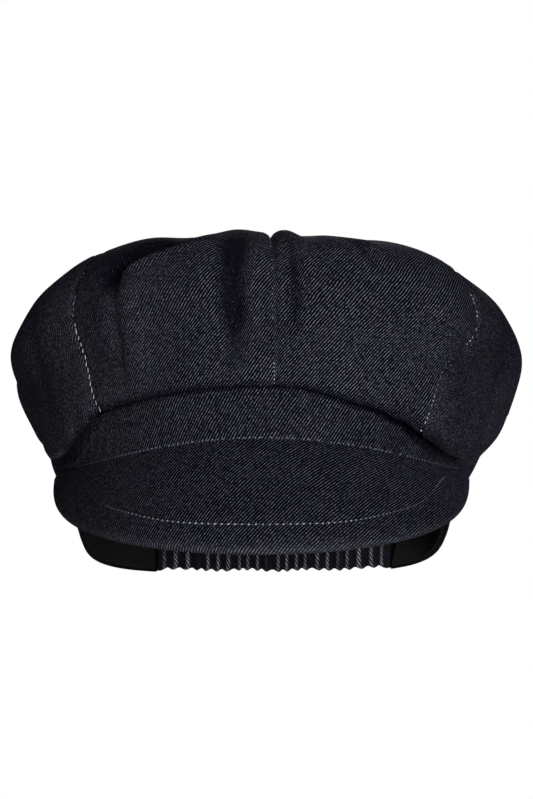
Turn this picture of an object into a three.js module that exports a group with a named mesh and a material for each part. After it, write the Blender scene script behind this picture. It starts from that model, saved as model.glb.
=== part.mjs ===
// A balloon cap in dark denim: a full crown sewn from eight panels, a band with a lapped front strip,
// a steep crescent peak, a gathered elastic casing at the back and a sweatband tape inside.
// Sizes are millimetres and bearings are degrees about +Z: 0 is the centre front, +90 the wearer's left,
// 180 the centre back. The origin is the middle of the head opening, in the plane of the rim.
import * as THREE from "three";

const GAP = 0.3; // between neighbouring pieces
const CLOTH = 1.5; // crown denim with its seam allowances

// Plans of the closed curves round the head: half width, reach to front and back, and squareness.
const HEAD = { side: 81, front: 98, back: 78, frontPower: 2, backPower: 3 };
const BULGE = { side: 101.5, front: 108, back: 106, frontPower: 2.15, backPower: 2 };

// The band stands on the rim and leans out towards its top edge, most of all at the sides.
const BAND = { height: 22, wall: 1.6, leanEnds: 3.5, leanSides: 6, from: -147, to: 140.5 };
const TAPE = { wall: 1, edge: 0.6, from: -145.5, to: 139 };
const STRIP = { wall: 1.4, end: 84, top: 0.8 };
const CASING = { from: 141.5, to: 212, low: 3, middle: 2.1, half: 1.5, gathers: 22, depth: 1.1, wave: 0.8 };

// The crown rises from the band to its widest level, then closes to the middle of its top.
const CROWN = { top: 105, apexBack: 4, lowerShare: 0.29, power: 2.15, flankPower: 1.5, lastRise: 0.995 };
const FLANK_ROWS = 4;
const DOME_ROWS = 11;
const WIDEST = { side: 62, front: 56, back: 54 };

// Each panel puffs out between its seams, from near its foot until close to the top, and dips at them. The
// gap between panels is measured level, so that a slanted seam still keeps 0.3 across it.
const PUFF = { height: 3, power: 0.8, from: 0.02, full: 0.3, fadeFrom: 0.75 };
const SEAM = { depth: 1.3, half: 2.6, fadeFrom: 0.9, gap: 0.45, edge: 0.04 };

// The foot of the crown starts on top of the band and rolls out past it. Its shares are of the climb to
// the widest level: over the band's edge, down to the lowest point, out to the fullest point, and back.
const FOOT = { start: -1.4, over: 0.03, lowest: 0.11, fullest: 0.2, settled: 0.5, slim: 0.65 };
const ROLL = { least: 1.2, bySink: 0.4 };

// How far the foot sinks over the band, by bearing.
const SINKS = [
  { bearing: -180, sink: 3 },
  { bearing: -130, sink: 2 },
  { bearing: -90, sink: 1 },
  { bearing: -60, sink: 8 },
  { bearing: -45, sink: 5.5 },
  { bearing: -20, sink: 6 },
  { bearing: 5, sink: 6 },
  { bearing: 25, sink: 10.5 },
  { bearing: 45, sink: 12.5 },
  { bearing: 57, sink: 15.5 },
  { bearing: 69, sink: 9 },
  { bearing: 84, sink: 1.5 },
  { bearing: 130, sink: 2 },
  { bearing: 180, sink: 3 },
];

// The peak hangs from the lower edge of the front strip, between two tips at the sides of the band.
const PEAK = { side: 83.5, shift: -2, reach: 131, drop: 77.5, dropPower: 0.78, seamPower: 3.2, end: 87 };
const BOARD = { root: 1.2, wall: 3, rootShare: 0.22, tipPower: 0.6, bow: 2.5 };
const BOW_WAY = new THREE.Vector3(0, -0.86, 0.51); // the board bows forwards and up between seam and edge

// Crown seams, by bearing at the band, at the widest level and near the top. Each begins a panel, whose
// middle is drawn in so many columns.
const SEAMS = [
  { name: "centre_front", band: 3, bulge: 2.5, top: 2, columns: 12 },
  { name: "front_left", band: 39, bulge: 53, top: 48, columns: 8 },
  { name: "side_left", band: 90, bulge: 92, top: 90, columns: 8 },
  { name: "back_left", band: 136, bulge: 136, top: 135, columns: 8 },
  { name: "centre_back", band: 180, bulge: 180, top: 180, columns: 8 },
  { name: "back_right", band: 224, bulge: 224, top: 225, columns: 8 },
  { name: "side_right", band: 268, bulge: 268, top: 270, columns: 8 },
  { name: "front_right", band: 318, bulge: 316, top: 312, columns: 12 },
];

// Folds in the crown. Each runs straight from its low end to its high end, whose bearings are lowAt and
// highAt and whose rises go from 0 at the band to 1 at the top. Half is its half width and depth is how far
// it sinks, or stands out where it is negative.
const FOLDS = [
  { name: "valley_beside_centre", lowAt: -7, lowRise: 0.14, highAt: -12, highRise: 0.6, half: 6, depth: 3.2 },
  { name: "hump_right", lowAt: -9, lowRise: 0.68, highAt: -11, highRise: 0.84, half: 9, depth: -1.2 },
  { name: "hump_left", lowAt: 8, lowRise: 0.5, highAt: 9, highRise: 0.84, half: 7, depth: -1.8 },
  { name: "tuck_beside_centre", lowAt: 10, lowRise: 0.14, highAt: 11, highRise: 0.45, half: 3, depth: 1.4 },
  { name: "pocket", lowAt: -34, lowRise: 0.4, highAt: -27, highRise: 0.62, half: 6, depth: 6 },
  { name: "pocket_crease", lowAt: -36, lowRise: 0.06, highAt: -34, highRise: 0.38, half: 3, depth: 1.6 },
  { name: "shoulder_right", lowAt: -46, lowRise: 0.5, highAt: -44, highRise: 0.74, half: 22, depth: -2.6 },
  { name: "shoulder_left", lowAt: 50, lowRise: 0.45, highAt: 46, highRise: 0.7, half: 14, depth: -2.4 },
  { name: "top_left_tuck", lowAt: 30, lowRise: 0.6, highAt: 20, highRise: 0.8, half: 7, depth: 1.8 },
  { name: "side_right_hollow", lowAt: -72, lowRise: 0.34, highAt: -68, highRise: 0.6, half: 20, depth: 2 },
  { name: "side_left_fullness", lowAt: 84, lowRise: 0.1, highAt: 82, highRise: 0.34, half: 30, depth: -2.2 },
  { name: "back_left_fold", lowAt: 160, lowRise: 0.03, highAt: 154, highRise: 0.5, half: 6, depth: 2.8 },
  { name: "back_right_fold", lowAt: 201, lowRise: 0.03, highAt: 208, highRise: 0.46, half: 6, depth: 2.8 },
  { name: "nape_fold", lowAt: 172, lowRise: 0.02, highAt: 169, highRise: 0.34, half: 4, depth: 2 },
];
const FOLD_FADE = 0.08; // share of the rise over which a fold's end runs out

const radians = THREE.MathUtils.degToRad;
const { lerp, smoothstep } = THREE.MathUtils;

/** Distance from the middle to a plan curve, at a bearing. */
function planRadius(plan, bearing) {
  const sine = Math.abs(Math.sin(radians(bearing)));
  const cosine = Math.cos(radians(bearing));
  const reach = cosine > 0 ? plan.front : plan.back;
  const power = cosine > 0 ? plan.frontPower : plan.backPower;
  return ((sine / plan.side) ** power + (Math.abs(cosine) / reach) ** power) ** (-1 / power);
}

/** A point by its bearing, its distance from the middle and its height. */
function polarPoint(bearing, radius, z, middleY = 0) {
  const angle = radians(bearing);
  return new THREE.Vector3(radius * Math.sin(angle), middleY - radius * Math.cos(angle), z);
}

/** A closed wall between two grids of points: the outer face, the inner face and the four edges. */
function wallBetween(outer, inner) {
  const lastRow = outer.length - 1;
  const lastColumn = outer[0].length - 1;
  const outside = (row, column) => row * (lastColumn + 1) + column;
  const inside = (row, column) => outside(row, column) + outside(lastRow, lastColumn) + 1;
  const faces = [];
  const quad = (a, b, c, d) => faces.push(a, b, c, a, c, d);
  for (let row = 0; row < lastRow; row++) {
    for (let column = 0; column < lastColumn; column++) {
      const next = column + 1;
      quad(outside(row, column), outside(row, next), outside(row + 1, next), outside(row + 1, column));
      quad(inside(row, column), inside(row + 1, column), inside(row + 1, next), inside(row, next));
    }
    quad(outside(row, 0), outside(row + 1, 0), inside(row + 1, 0), inside(row, 0));
    quad(outside(row, lastColumn), inside(row, lastColumn), inside(row + 1, lastColumn),
      outside(row + 1, lastColumn));
  }
  for (let column = 0; column < lastColumn; column++) {
    const next = column + 1;
    quad(outside(0, column), inside(0, column), inside(0, next), outside(0, next));
    quad(outside(lastRow, column), outside(lastRow, next), inside(lastRow, next), inside(lastRow, column));
  }
  const geometry = new THREE.BufferGeometry().setFromPoints([...outer.flat(), ...inner.flat()]);
  geometry.setIndex(faces);
  geometry.computeVertexNormals();
  return geometry;
}

/** A grid of points, one row for each value of the first list and one column for each of the second. */
function gridOf(rowValues, columnValues, pointAt) {
  return rowValues.map((row) => columnValues.map((column) => pointAt(row, column)));
}

/** Evenly spaced values from first to last, both included. */
function evenSteps(first, last, count) {
  return Array.from({ length: count + 1 }, (_, step) => lerp(first, last, step / count));
}

/** Height of the crown's widest level, at a bearing. */
function widestLevel(bearing) {
  const cosine = Math.cos(radians(bearing));
  return lerp(WIDEST.side, cosine > 0 ? WIDEST.front : WIDEST.back, cosine ** 2);
}

/** How far the foot of the crown sinks, at a bearing. */
function sinkAt(bearing) {
  const turn = ((bearing + 540) % 360) - 180;
  const next = Math.max(1, SINKS.findIndex((row) => row.bearing >= turn));
  const low = SINKS[next - 1];
  const high = SINKS[next];
  return lerp(low.sink, high.sink, smoothstep(turn, low.bearing, high.bearing));
}

/** Radius and height of the crown before puff and folds: foot, flank, then a dome above the widest level. */
function crownSection(bearing, rise) {
  const bulge = planRadius(BULGE, bearing);
  const level = widestLevel(bearing);
  if (rise > CROWN.lowerShare) {
    const turn = radians(90 * (rise - CROWN.lowerShare) / (1 - CROWN.lowerShare));
    const radius = bulge * Math.cos(turn) ** (2 / CROWN.power);
    return { radius, z: lerp(level, CROWN.top, Math.sin(turn) ** (2 / CROWN.power)) };
  }
  const seam = planRadius(HEAD, bearing);
  const climb = rise / CROWN.lowerShare;
  const sink = sinkAt(bearing);
  const hang = smoothstep(climb, FOOT.over, FOOT.lowest) * (1 - smoothstep(climb, FOOT.lowest, FOOT.settled));
  const roll = smoothstep(climb, 0, FOOT.fullest) * (1 - smoothstep(climb, FOOT.fullest, FOOT.slim));
  const radius = lerp(bulge, seam, (1 - climb) ** CROWN.flankPower)
    + FOOT.start * (1 - smoothstep(climb, 0, FOOT.over))
    + (ROLL.least + ROLL.bySink * sink) * roll;
  return { radius, z: lerp(BAND.height + GAP, level, climb) - sink * hang };
}

/** A point of the crown before puff and folds; the top closes a little behind the middle. */
function crownBase(bearing, rise) {
  const { radius, z } = crownSection(bearing, rise);
  const closed = rise > CROWN.lowerShare ? 1 - radius / planRadius(BULGE, bearing) : 0;
  return polarPoint(bearing, radius, z, CROWN.apexBack * closed);
}

/** The bearing of a crown seam at a rise. */
function seamBearing(seam, rise) {
  const low = lerp(seam.band, seam.bulge, smoothstep(rise, 0, CROWN.lowerShare));
  return lerp(low, seam.top, smoothstep(rise, CROWN.lowerShare, 1));
}

/** How far the folds sink the crown at a point whose distance from the middle is radius. */
function foldDepth(bearing, rise, radius) {
  let depth = 0;
  for (const fold of FOLDS) {
    const along = (rise - fold.lowRise) / (fold.highRise - fold.lowRise);
    const line = lerp(fold.lowAt, fold.highAt, along);
    const turn = ((bearing - line + 540) % 360) - 180;
    const across = (radians(turn) * radius) / fold.half;
    const fade = smoothstep(rise, fold.lowRise - FOLD_FADE, fold.lowRise + FOLD_FADE)
      * (1 - smoothstep(rise, fold.highRise - FOLD_FADE, fold.highRise + FOLD_FADE));
    depth += fold.depth * fade * Math.exp(-(across ** 2));
  }
  return depth;
}

/** Direction out of the crown, smoothed over a short climb so that it turns gently round the foot. */
function crownNormal(bearing, rise) {
  const reach = 0.01;
  const along = crownBase(bearing + 1, rise).sub(crownBase(bearing - 1, rise));
  const up = crownBase(bearing, Math.min(1, rise + reach)).sub(crownBase(bearing, Math.max(0, rise - reach)));
  return along.cross(up).normalize();
}

/** A point of a crown panel, 0 to 1 across from its first seam to its second, at a depth into the wall. */
function crownPoint(first, second, across, rise, depth) {
  const inset = THREE.MathUtils.radToDeg(SEAM.gap / 2 / crownSection(first.bulge, rise).radius);
  const start = seamBearing(first, rise) + inset;
  const end = seamBearing(second, rise) + (second.bulge < first.bulge ? 360 : 0) - inset;
  const bearing = lerp(start, end, across);
  const { radius } = crownSection(bearing, rise);
  const nearSeam = Math.min(across, 1 - across) * radians(end - start) * radius;
  const puff = PUFF.height * Math.sin(Math.PI * across) ** PUFF.power
    * smoothstep(rise, PUFF.from, PUFF.full) * (1 - smoothstep(rise, PUFF.fadeFrom, 1));
  const groove = SEAM.depth * Math.exp(-((nearSeam / SEAM.half) ** 2))
    * (1 - smoothstep(rise, SEAM.fadeFrom, 1));
  const out = puff - groove - foldDepth(bearing, rise, radius) - depth;
  return crownBase(bearing, rise).addScaledVector(crownNormal(bearing, rise), out);
}

/** One of the eight crown panels, from its first seam round to its second. */
function crownPanel(first, second) {
  const middle = (FOOT.over + FOOT.lowest) / 2;
  const climbs = [0, FOOT.over, middle, FOOT.lowest, ...evenSteps(FOOT.fullest, 1, FLANK_ROWS)];
  const domeRises = evenSteps(CROWN.lowerShare, CROWN.lastRise, DOME_ROWS).slice(1);
  const rises = [...climbs.map((climb) => climb * CROWN.lowerShare), ...domeRises];
  const acrosses = [0, ...evenSteps(SEAM.edge, 1 - SEAM.edge, first.columns), 1];
  const outer = gridOf(rises, acrosses, (rise, across) => crownPoint(first, second, across, rise, 0));
  const inner = gridOf(rises, acrosses, (rise, across) => crownPoint(first, second, across, rise, CLOTH));
  return wallBetween(outer, inner);
}

/** A point on the band's outer face, or a distance out from it. */
function bandPoint(bearing, z, out = 0) {
  const lean = lerp(BAND.leanSides, BAND.leanEnds, Math.cos(radians(bearing)) ** 2) * (1 - z / BAND.height);
  return polarPoint(bearing, planRadius(HEAD, bearing) - lean + out, z);
}

/** The denim band, open at the back where the casing closes it. */
function bandWall() {
  const heights = [0, BAND.height];
  const bearings = evenSteps(BAND.from, BAND.to, 60);
  const outer = gridOf(heights, bearings, (z, bearing) => bandPoint(bearing, z));
  const inner = gridOf(heights, bearings, (z, bearing) => bandPoint(bearing, z, -BAND.wall));
  return wallBetween(outer, inner);
}

/** The sweatband tape inside the band. */
function tapeWall() {
  const heights = [TAPE.edge, BAND.height - TAPE.edge];
  const bearings = evenSteps(TAPE.from, TAPE.to, 60);
  const face = -BAND.wall - GAP;
  const outer = gridOf(heights, bearings, (z, bearing) => bandPoint(bearing, z, face));
  const inner = gridOf(heights, bearings, (z, bearing) => bandPoint(bearing, z, face - TAPE.wall));
  return wallBetween(outer, inner);
}

/** The gathered casing across the back, with an elastic inside: ribs stand out on both faces. */
function casingWall() {
  const stepsPerGather = 4;
  const heights = [0, 0.5, 1];
  const bearings = evenSteps(CASING.from, CASING.to, CASING.gathers * stepsPerGather);
  const point = (share, bearing, side) => {
    const phase = 2 * Math.PI * CASING.gathers * (bearing - CASING.from) / (CASING.to - CASING.from);
    const low = CASING.low + CASING.wave * Math.cos(phase);
    const out = -CASING.middle + side * (CASING.half + CASING.depth * (0.5 - 0.5 * Math.cos(phase)));
    return bandPoint(bearing, lerp(low, BAND.height, share), out);
  };
  const outer = gridOf(heights, bearings, (share, bearing) => point(share, bearing, 1));
  const inner = gridOf(heights, bearings, (share, bearing) => point(share, bearing, -1));
  return wallBetween(outer, inner);
}

/** Height of the peak's seam on the band: on the rim at the front, at the top of the band at the tips. */
function peakSeamHeight(turn) {
  return BAND.height * (Math.abs(turn) / 90) ** PEAK.seamPower;
}

/** Bearing of a point on the front of the head curve, by its turn as on a circle. */
function bearingOfTurn(turn) {
  const sideways = HEAD.side * Math.sin(radians(turn));
  const forwards = HEAD.front * Math.cos(radians(turn));
  return THREE.MathUtils.radToDeg(Math.atan2(sideways, forwards));
}

/** The strip lapped over the front of the band: a crescent between the crown and the peak. */
function stripWall() {
  const turns = evenSteps(-STRIP.end, STRIP.end, 44);
  const shares = [0, 0.5, 1];
  const point = (share, turn, out) => {
    const z = lerp(peakSeamHeight(turn) + GAP, BAND.height - STRIP.top, share);
    return bandPoint(bearingOfTurn(turn), z, out);
  };
  const outer = gridOf(shares, turns, (share, turn) => point(share, turn, GAP + STRIP.wall));
  const inner = gridOf(shares, turns, (share, turn) => point(share, turn, GAP));
  return wallBetween(outer, inner);
}

/** A point of the peak's upper face: share runs from 0 at its seam to 1 at its free edge. */
function peakFace(turn, share) {
  const sine = Math.sin(radians(turn));
  const cosine = Math.cos(radians(turn));
  const seam = bandPoint(bearingOfTurn(turn), peakSeamHeight(turn), GAP + BOARD.root);
  const edge = new THREE.Vector3(
    PEAK.side * sine + PEAK.shift * Math.sqrt(cosine),
    -PEAK.reach * cosine,
    BAND.height - PEAK.drop * cosine ** PEAK.dropPower,
  );
  return seam.lerp(edge, share).addScaledVector(BOW_WAY, BOARD.bow * cosine * 4 * share * (1 - share));
}

/** The peak: a stiff board covered in denim, thin at its seam and rounded at its free edge. */
function peakBoard() {
  const turns = evenSteps(-PEAK.end, PEAK.end, 40);
  const shares = [0, 0.1, 0.22, 0.4, 0.6, 0.8, 0.94, 1];
  const step = 0.01;
  const under = (turn, share) => {
    const along = peakFace(turn + 1, share).sub(peakFace(turn - 1, share));
    const out = peakFace(turn, share + step).sub(peakFace(turn, share - step));
    const normal = out.cross(along).normalize();
    const full = smoothstep(share, 0, BOARD.rootShare) * Math.cos(radians(turn)) ** BOARD.tipPower;
    const wall = lerp(BOARD.root, BOARD.wall, full);
    return peakFace(turn, share).addScaledVector(normal, -wall);
  };
  const outer = gridOf(shares, turns, (share, turn) => peakFace(turn, share));
  const inner = gridOf(shares, turns, (share, turn) => under(turn, share));
  return wallBetween(inner, outer);
}

/** A matt cloth. */
function cloth(colour) {
  return new THREE.MeshStandardMaterial({ color: colour, roughness: 0.92, side: THREE.DoubleSide });
}

const crownDenim = cloth(0x22242f);
const bandDenim = cloth(0x20222c);
const peakDenim = cloth(0x232732);
const tapeBlack = cloth(0x121213);

const cap = new THREE.Group();

/** Adds a named piece to the cap. */
function addPiece(name, geometry, material) {
  const mesh = new THREE.Mesh(geometry, material);
  mesh.name = name;
  cap.add(mesh);
}

SEAMS.forEach((seam, index) => {
  const next = SEAMS[(index + 1) % SEAMS.length];
  addPiece("crown_panel_" + (index + 1), crownPanel(seam, next), crownDenim);
});
addPiece("band", bandWall(), bandDenim);
addPiece("front_strip", stripWall(), bandDenim);
addPiece("peak", peakBoard(), peakDenim);
addPiece("elastic_casing", casingWall(), bandDenim);
addPiece("sweatband", tapeWall(), tapeBlack);

export default cap;
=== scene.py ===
"""A balloon cap in dark denim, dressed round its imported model.

Sizes are millimetres until a mesh is made, which is in metres. Bearings are degrees about +Z: 0 is the
centre front, +90 the wearer's left and 180 the centre back. A rise goes from 0 at the band to 1 at the top.
"""

import logging
import math
from dataclasses import dataclass, field
from enum import Enum

import bpy
import numpy as np
from mathutils import Matrix, Vector


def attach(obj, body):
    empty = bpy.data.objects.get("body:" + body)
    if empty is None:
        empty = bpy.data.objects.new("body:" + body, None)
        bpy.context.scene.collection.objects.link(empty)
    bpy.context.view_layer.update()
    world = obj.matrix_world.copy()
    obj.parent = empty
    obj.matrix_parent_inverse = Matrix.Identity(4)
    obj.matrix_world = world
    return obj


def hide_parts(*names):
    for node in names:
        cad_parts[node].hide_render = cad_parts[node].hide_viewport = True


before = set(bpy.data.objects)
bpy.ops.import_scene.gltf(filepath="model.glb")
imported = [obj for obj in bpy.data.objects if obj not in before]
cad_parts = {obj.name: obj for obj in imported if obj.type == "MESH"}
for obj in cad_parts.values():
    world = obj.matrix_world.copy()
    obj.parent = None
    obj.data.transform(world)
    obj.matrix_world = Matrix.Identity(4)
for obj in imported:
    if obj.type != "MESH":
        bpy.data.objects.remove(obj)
bpy.ops.object.select_all(action="DESELECT")
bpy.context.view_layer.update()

MM = 0.001
SMOOTH_ANGLE = math.radians(50)
log = logging.getLogger("cap")


@dataclass(frozen=True)
class Plan:
    """A closed curve round the head: half width, reach to front and back, and squareness, in millimetres."""

    side: float
    front: float
    back: float
    front_power: float
    back_power: float

    def radius(self, bearing: np.ndarray) -> np.ndarray:
        """Distance from the middle to the curve.

        Args:
            bearing: degrees about +Z, 0 at the centre front and +90 at the wearer's left.

        Returns:
            The distances in millimetres.
        """
        sine = np.abs(np.sin(np.radians(bearing)))
        cosine = np.cos(np.radians(bearing))
        reach = np.where(cosine > 0, self.front, self.back)
        power = np.where(cosine > 0, self.front_power, self.back_power)
        return ((sine / self.side) ** power + (np.abs(cosine) / reach) ** power) ** (-1 / power)


@dataclass(frozen=True)
class Fold:
    """A fold in the crown, from its low end to its high end; it stands out where depth is negative."""

    low_at: float
    low_rise: float
    high_at: float
    high_rise: float
    half: float
    depth: float
    fade: float = 0.08

    def depth_at(self, bearing: np.ndarray, rise: np.ndarray, radius: np.ndarray) -> np.ndarray:
        """How far this fold sinks the cloth.

        Args:
            bearing: degrees about +Z.
            rise: 0 at the band to 1 at the top.
            radius: distance from the middle in millimetres.

        Returns:
            Depths in millimetres.
        """
        along = (rise - self.low_rise) / (self.high_rise - self.low_rise)
        line = blend(self.low_at, self.high_at, along)
        across = np.radians(turn_from(bearing, line)) * radius / self.half
        fade = smooth(rise, self.low_rise - self.fade, self.low_rise + self.fade)
        fade = fade * (1 - smooth(rise, self.high_rise - self.fade, self.high_rise + self.fade))
        return self.depth * fade * np.exp(-(across**2))


def smooth(value: np.ndarray, low: float, high: float) -> np.ndarray:
    """0 below low, 1 above high and an even S between them."""
    share = np.clip((value - low) / (high - low), 0, 1)
    return share * share * (3 - 2 * share)


def blend(first: np.ndarray, second: np.ndarray, share: np.ndarray) -> np.ndarray:
    """From first at share 0 to second at share 1."""
    return first + (second - first) * share


def turn_from(bearing: np.ndarray, place: np.ndarray = 0.0) -> np.ndarray:
    """Degrees from a place round to a bearing, between -180 and 180."""
    return (bearing - place + 540) % 360 - 180


def polar(bearing: np.ndarray, radius: np.ndarray, z: np.ndarray, middle_y: np.ndarray = 0.0) -> np.ndarray:
    """Points by bearing, distance from the middle and height, in millimetres.

    Args:
        bearing: degrees about +Z.
        radius: distance from the middle.
        z: height.
        middle_y: where the middle lies in y.

    Returns:
        The points.
    """
    angle = np.radians(bearing)
    parts = np.broadcast_arrays(radius * np.sin(angle), middle_y - radius * np.cos(angle), z)
    return np.stack(parts, axis=-1)


def unit(vectors: np.ndarray) -> np.ndarray:
    """The same directions with length 1."""
    return vectors / np.maximum(np.linalg.norm(vectors, axis=-1, keepdims=True), 1e-9)


@dataclass(frozen=True)
class HeadForm:
    """The curves and levels that the pieces share, in millimetres, as in the part's source."""

    head: Plan = Plan(81, 98, 78, 2, 3)
    gap: float = 0.3
    band_height: float = 22
    band_wall: float = 1.6
    lean_ends: float = 3.5
    lean_sides: float = 6
    peak_seam_power: float = 3.2
    corners: tuple = ((-134, 6), (134, 3.5))
    corner_half: float = 15

    def band_point(self, bearing: np.ndarray, z: np.ndarray, out: np.ndarray = 0.0) -> np.ndarray:
        """Points on the band's outer face, or a distance out from it.

        Args:
            bearing: degrees about +Z.
            z: height in millimetres.
            out: distance out from the face.

        Returns:
            Points in millimetres.
        """
        ends = np.cos(np.radians(bearing)) ** 2
        lean = blend(self.lean_sides, self.lean_ends, ends)
        for place, push in self.corners:
            lean = lean - push * np.exp(-((turn_from(bearing, place) / self.corner_half) ** 2))
        return polar(bearing, self.head.radius(bearing) - lean * (1 - z / self.band_height) + out, z)

    def seam_height(self, turn: np.ndarray) -> np.ndarray:
        """Height of the peak's seam on the band, by turn."""
        return self.band_height * (np.abs(turn) / 90) ** self.peak_seam_power

    def bearing_of(self, turn: np.ndarray) -> np.ndarray:
        """Bearing of a point on the front of the head curve, by its turn as on a circle."""
        angle = np.radians(turn)
        return np.degrees(np.arctan2(self.head.side * np.sin(angle), self.head.front * np.cos(angle)))


# How far the crown's foot sinks over the band: a bearing, then a depth in millimetres.
SINKS = (
    (-180, 3),
    (-130, 2),
    (-90, 3),
    (-80, 6),
    (-72, 11.5),
    (-62, 14.5),
    (-55, 13.5),
    (-49, 9.5),
    (-43, 6),
    (-37, 5.6),
    (-20, 6),
    (5, 6),
    (25, 10.5),
    (34, 12.8),
    (42, 16.5),
    (50, 18.5),
    (60, 16.5),
    (72, 8),
    (84, 1.5),
    (130, 2),
    (180, 3),
)

# The crown's seams: a name, then the bearing at the band, at the widest level and at the top.
SEAMS = (
    ("centre_front", 3, 2.5, 2),
    ("front_left", 39, 53, 48),
    ("side_left", 90, 92, 90),
    ("back_left", 136, 136, 135),
    ("centre_back", 180, 180, 180),
    ("back_right", 224, 224, 225),
    ("side_right", 268, 268, 270),
    ("front_right", 318, 316, 312),
)

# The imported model's folds, some of them a little moved and reshaped.
FOLDS = (
    Fold(-6.1, 0.19, -6.9, 0.6, 6.2, 3.8),
    Fold(-9, 0.68, -11, 0.84, 9, -1.2),
    Fold(6.2, 0.5, 6.6, 0.84, 4.5, -1.6),
    Fold(6.6, 0.14, 6.3, 0.48, 2.3, 2.6, 0.12),
    Fold(-33, 0.37, -26, 0.6, 5.6, 5.6),
    Fold(-31.9, 0.08, -31.2, 0.37, 2.0, 1.5, 0.05),
    Fold(-46, 0.5, -44, 0.74, 22, -2.6),
    Fold(50, 0.45, 46, 0.7, 14, -2.4),
    Fold(30, 0.6, 20, 0.8, 7, 1.8),
    Fold(-72, 0.34, -68, 0.6, 20, 2),
    Fold(84, 0.1, 82, 0.34, 30, -2.2),
    Fold(160, 0.03, 154, 0.5, 6, 2.8),
    Fold(201, 0.03, 208, 0.46, 6, 2.8),
    Fold(172, 0.02, 169, 0.34, 4, 2),
)


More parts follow.
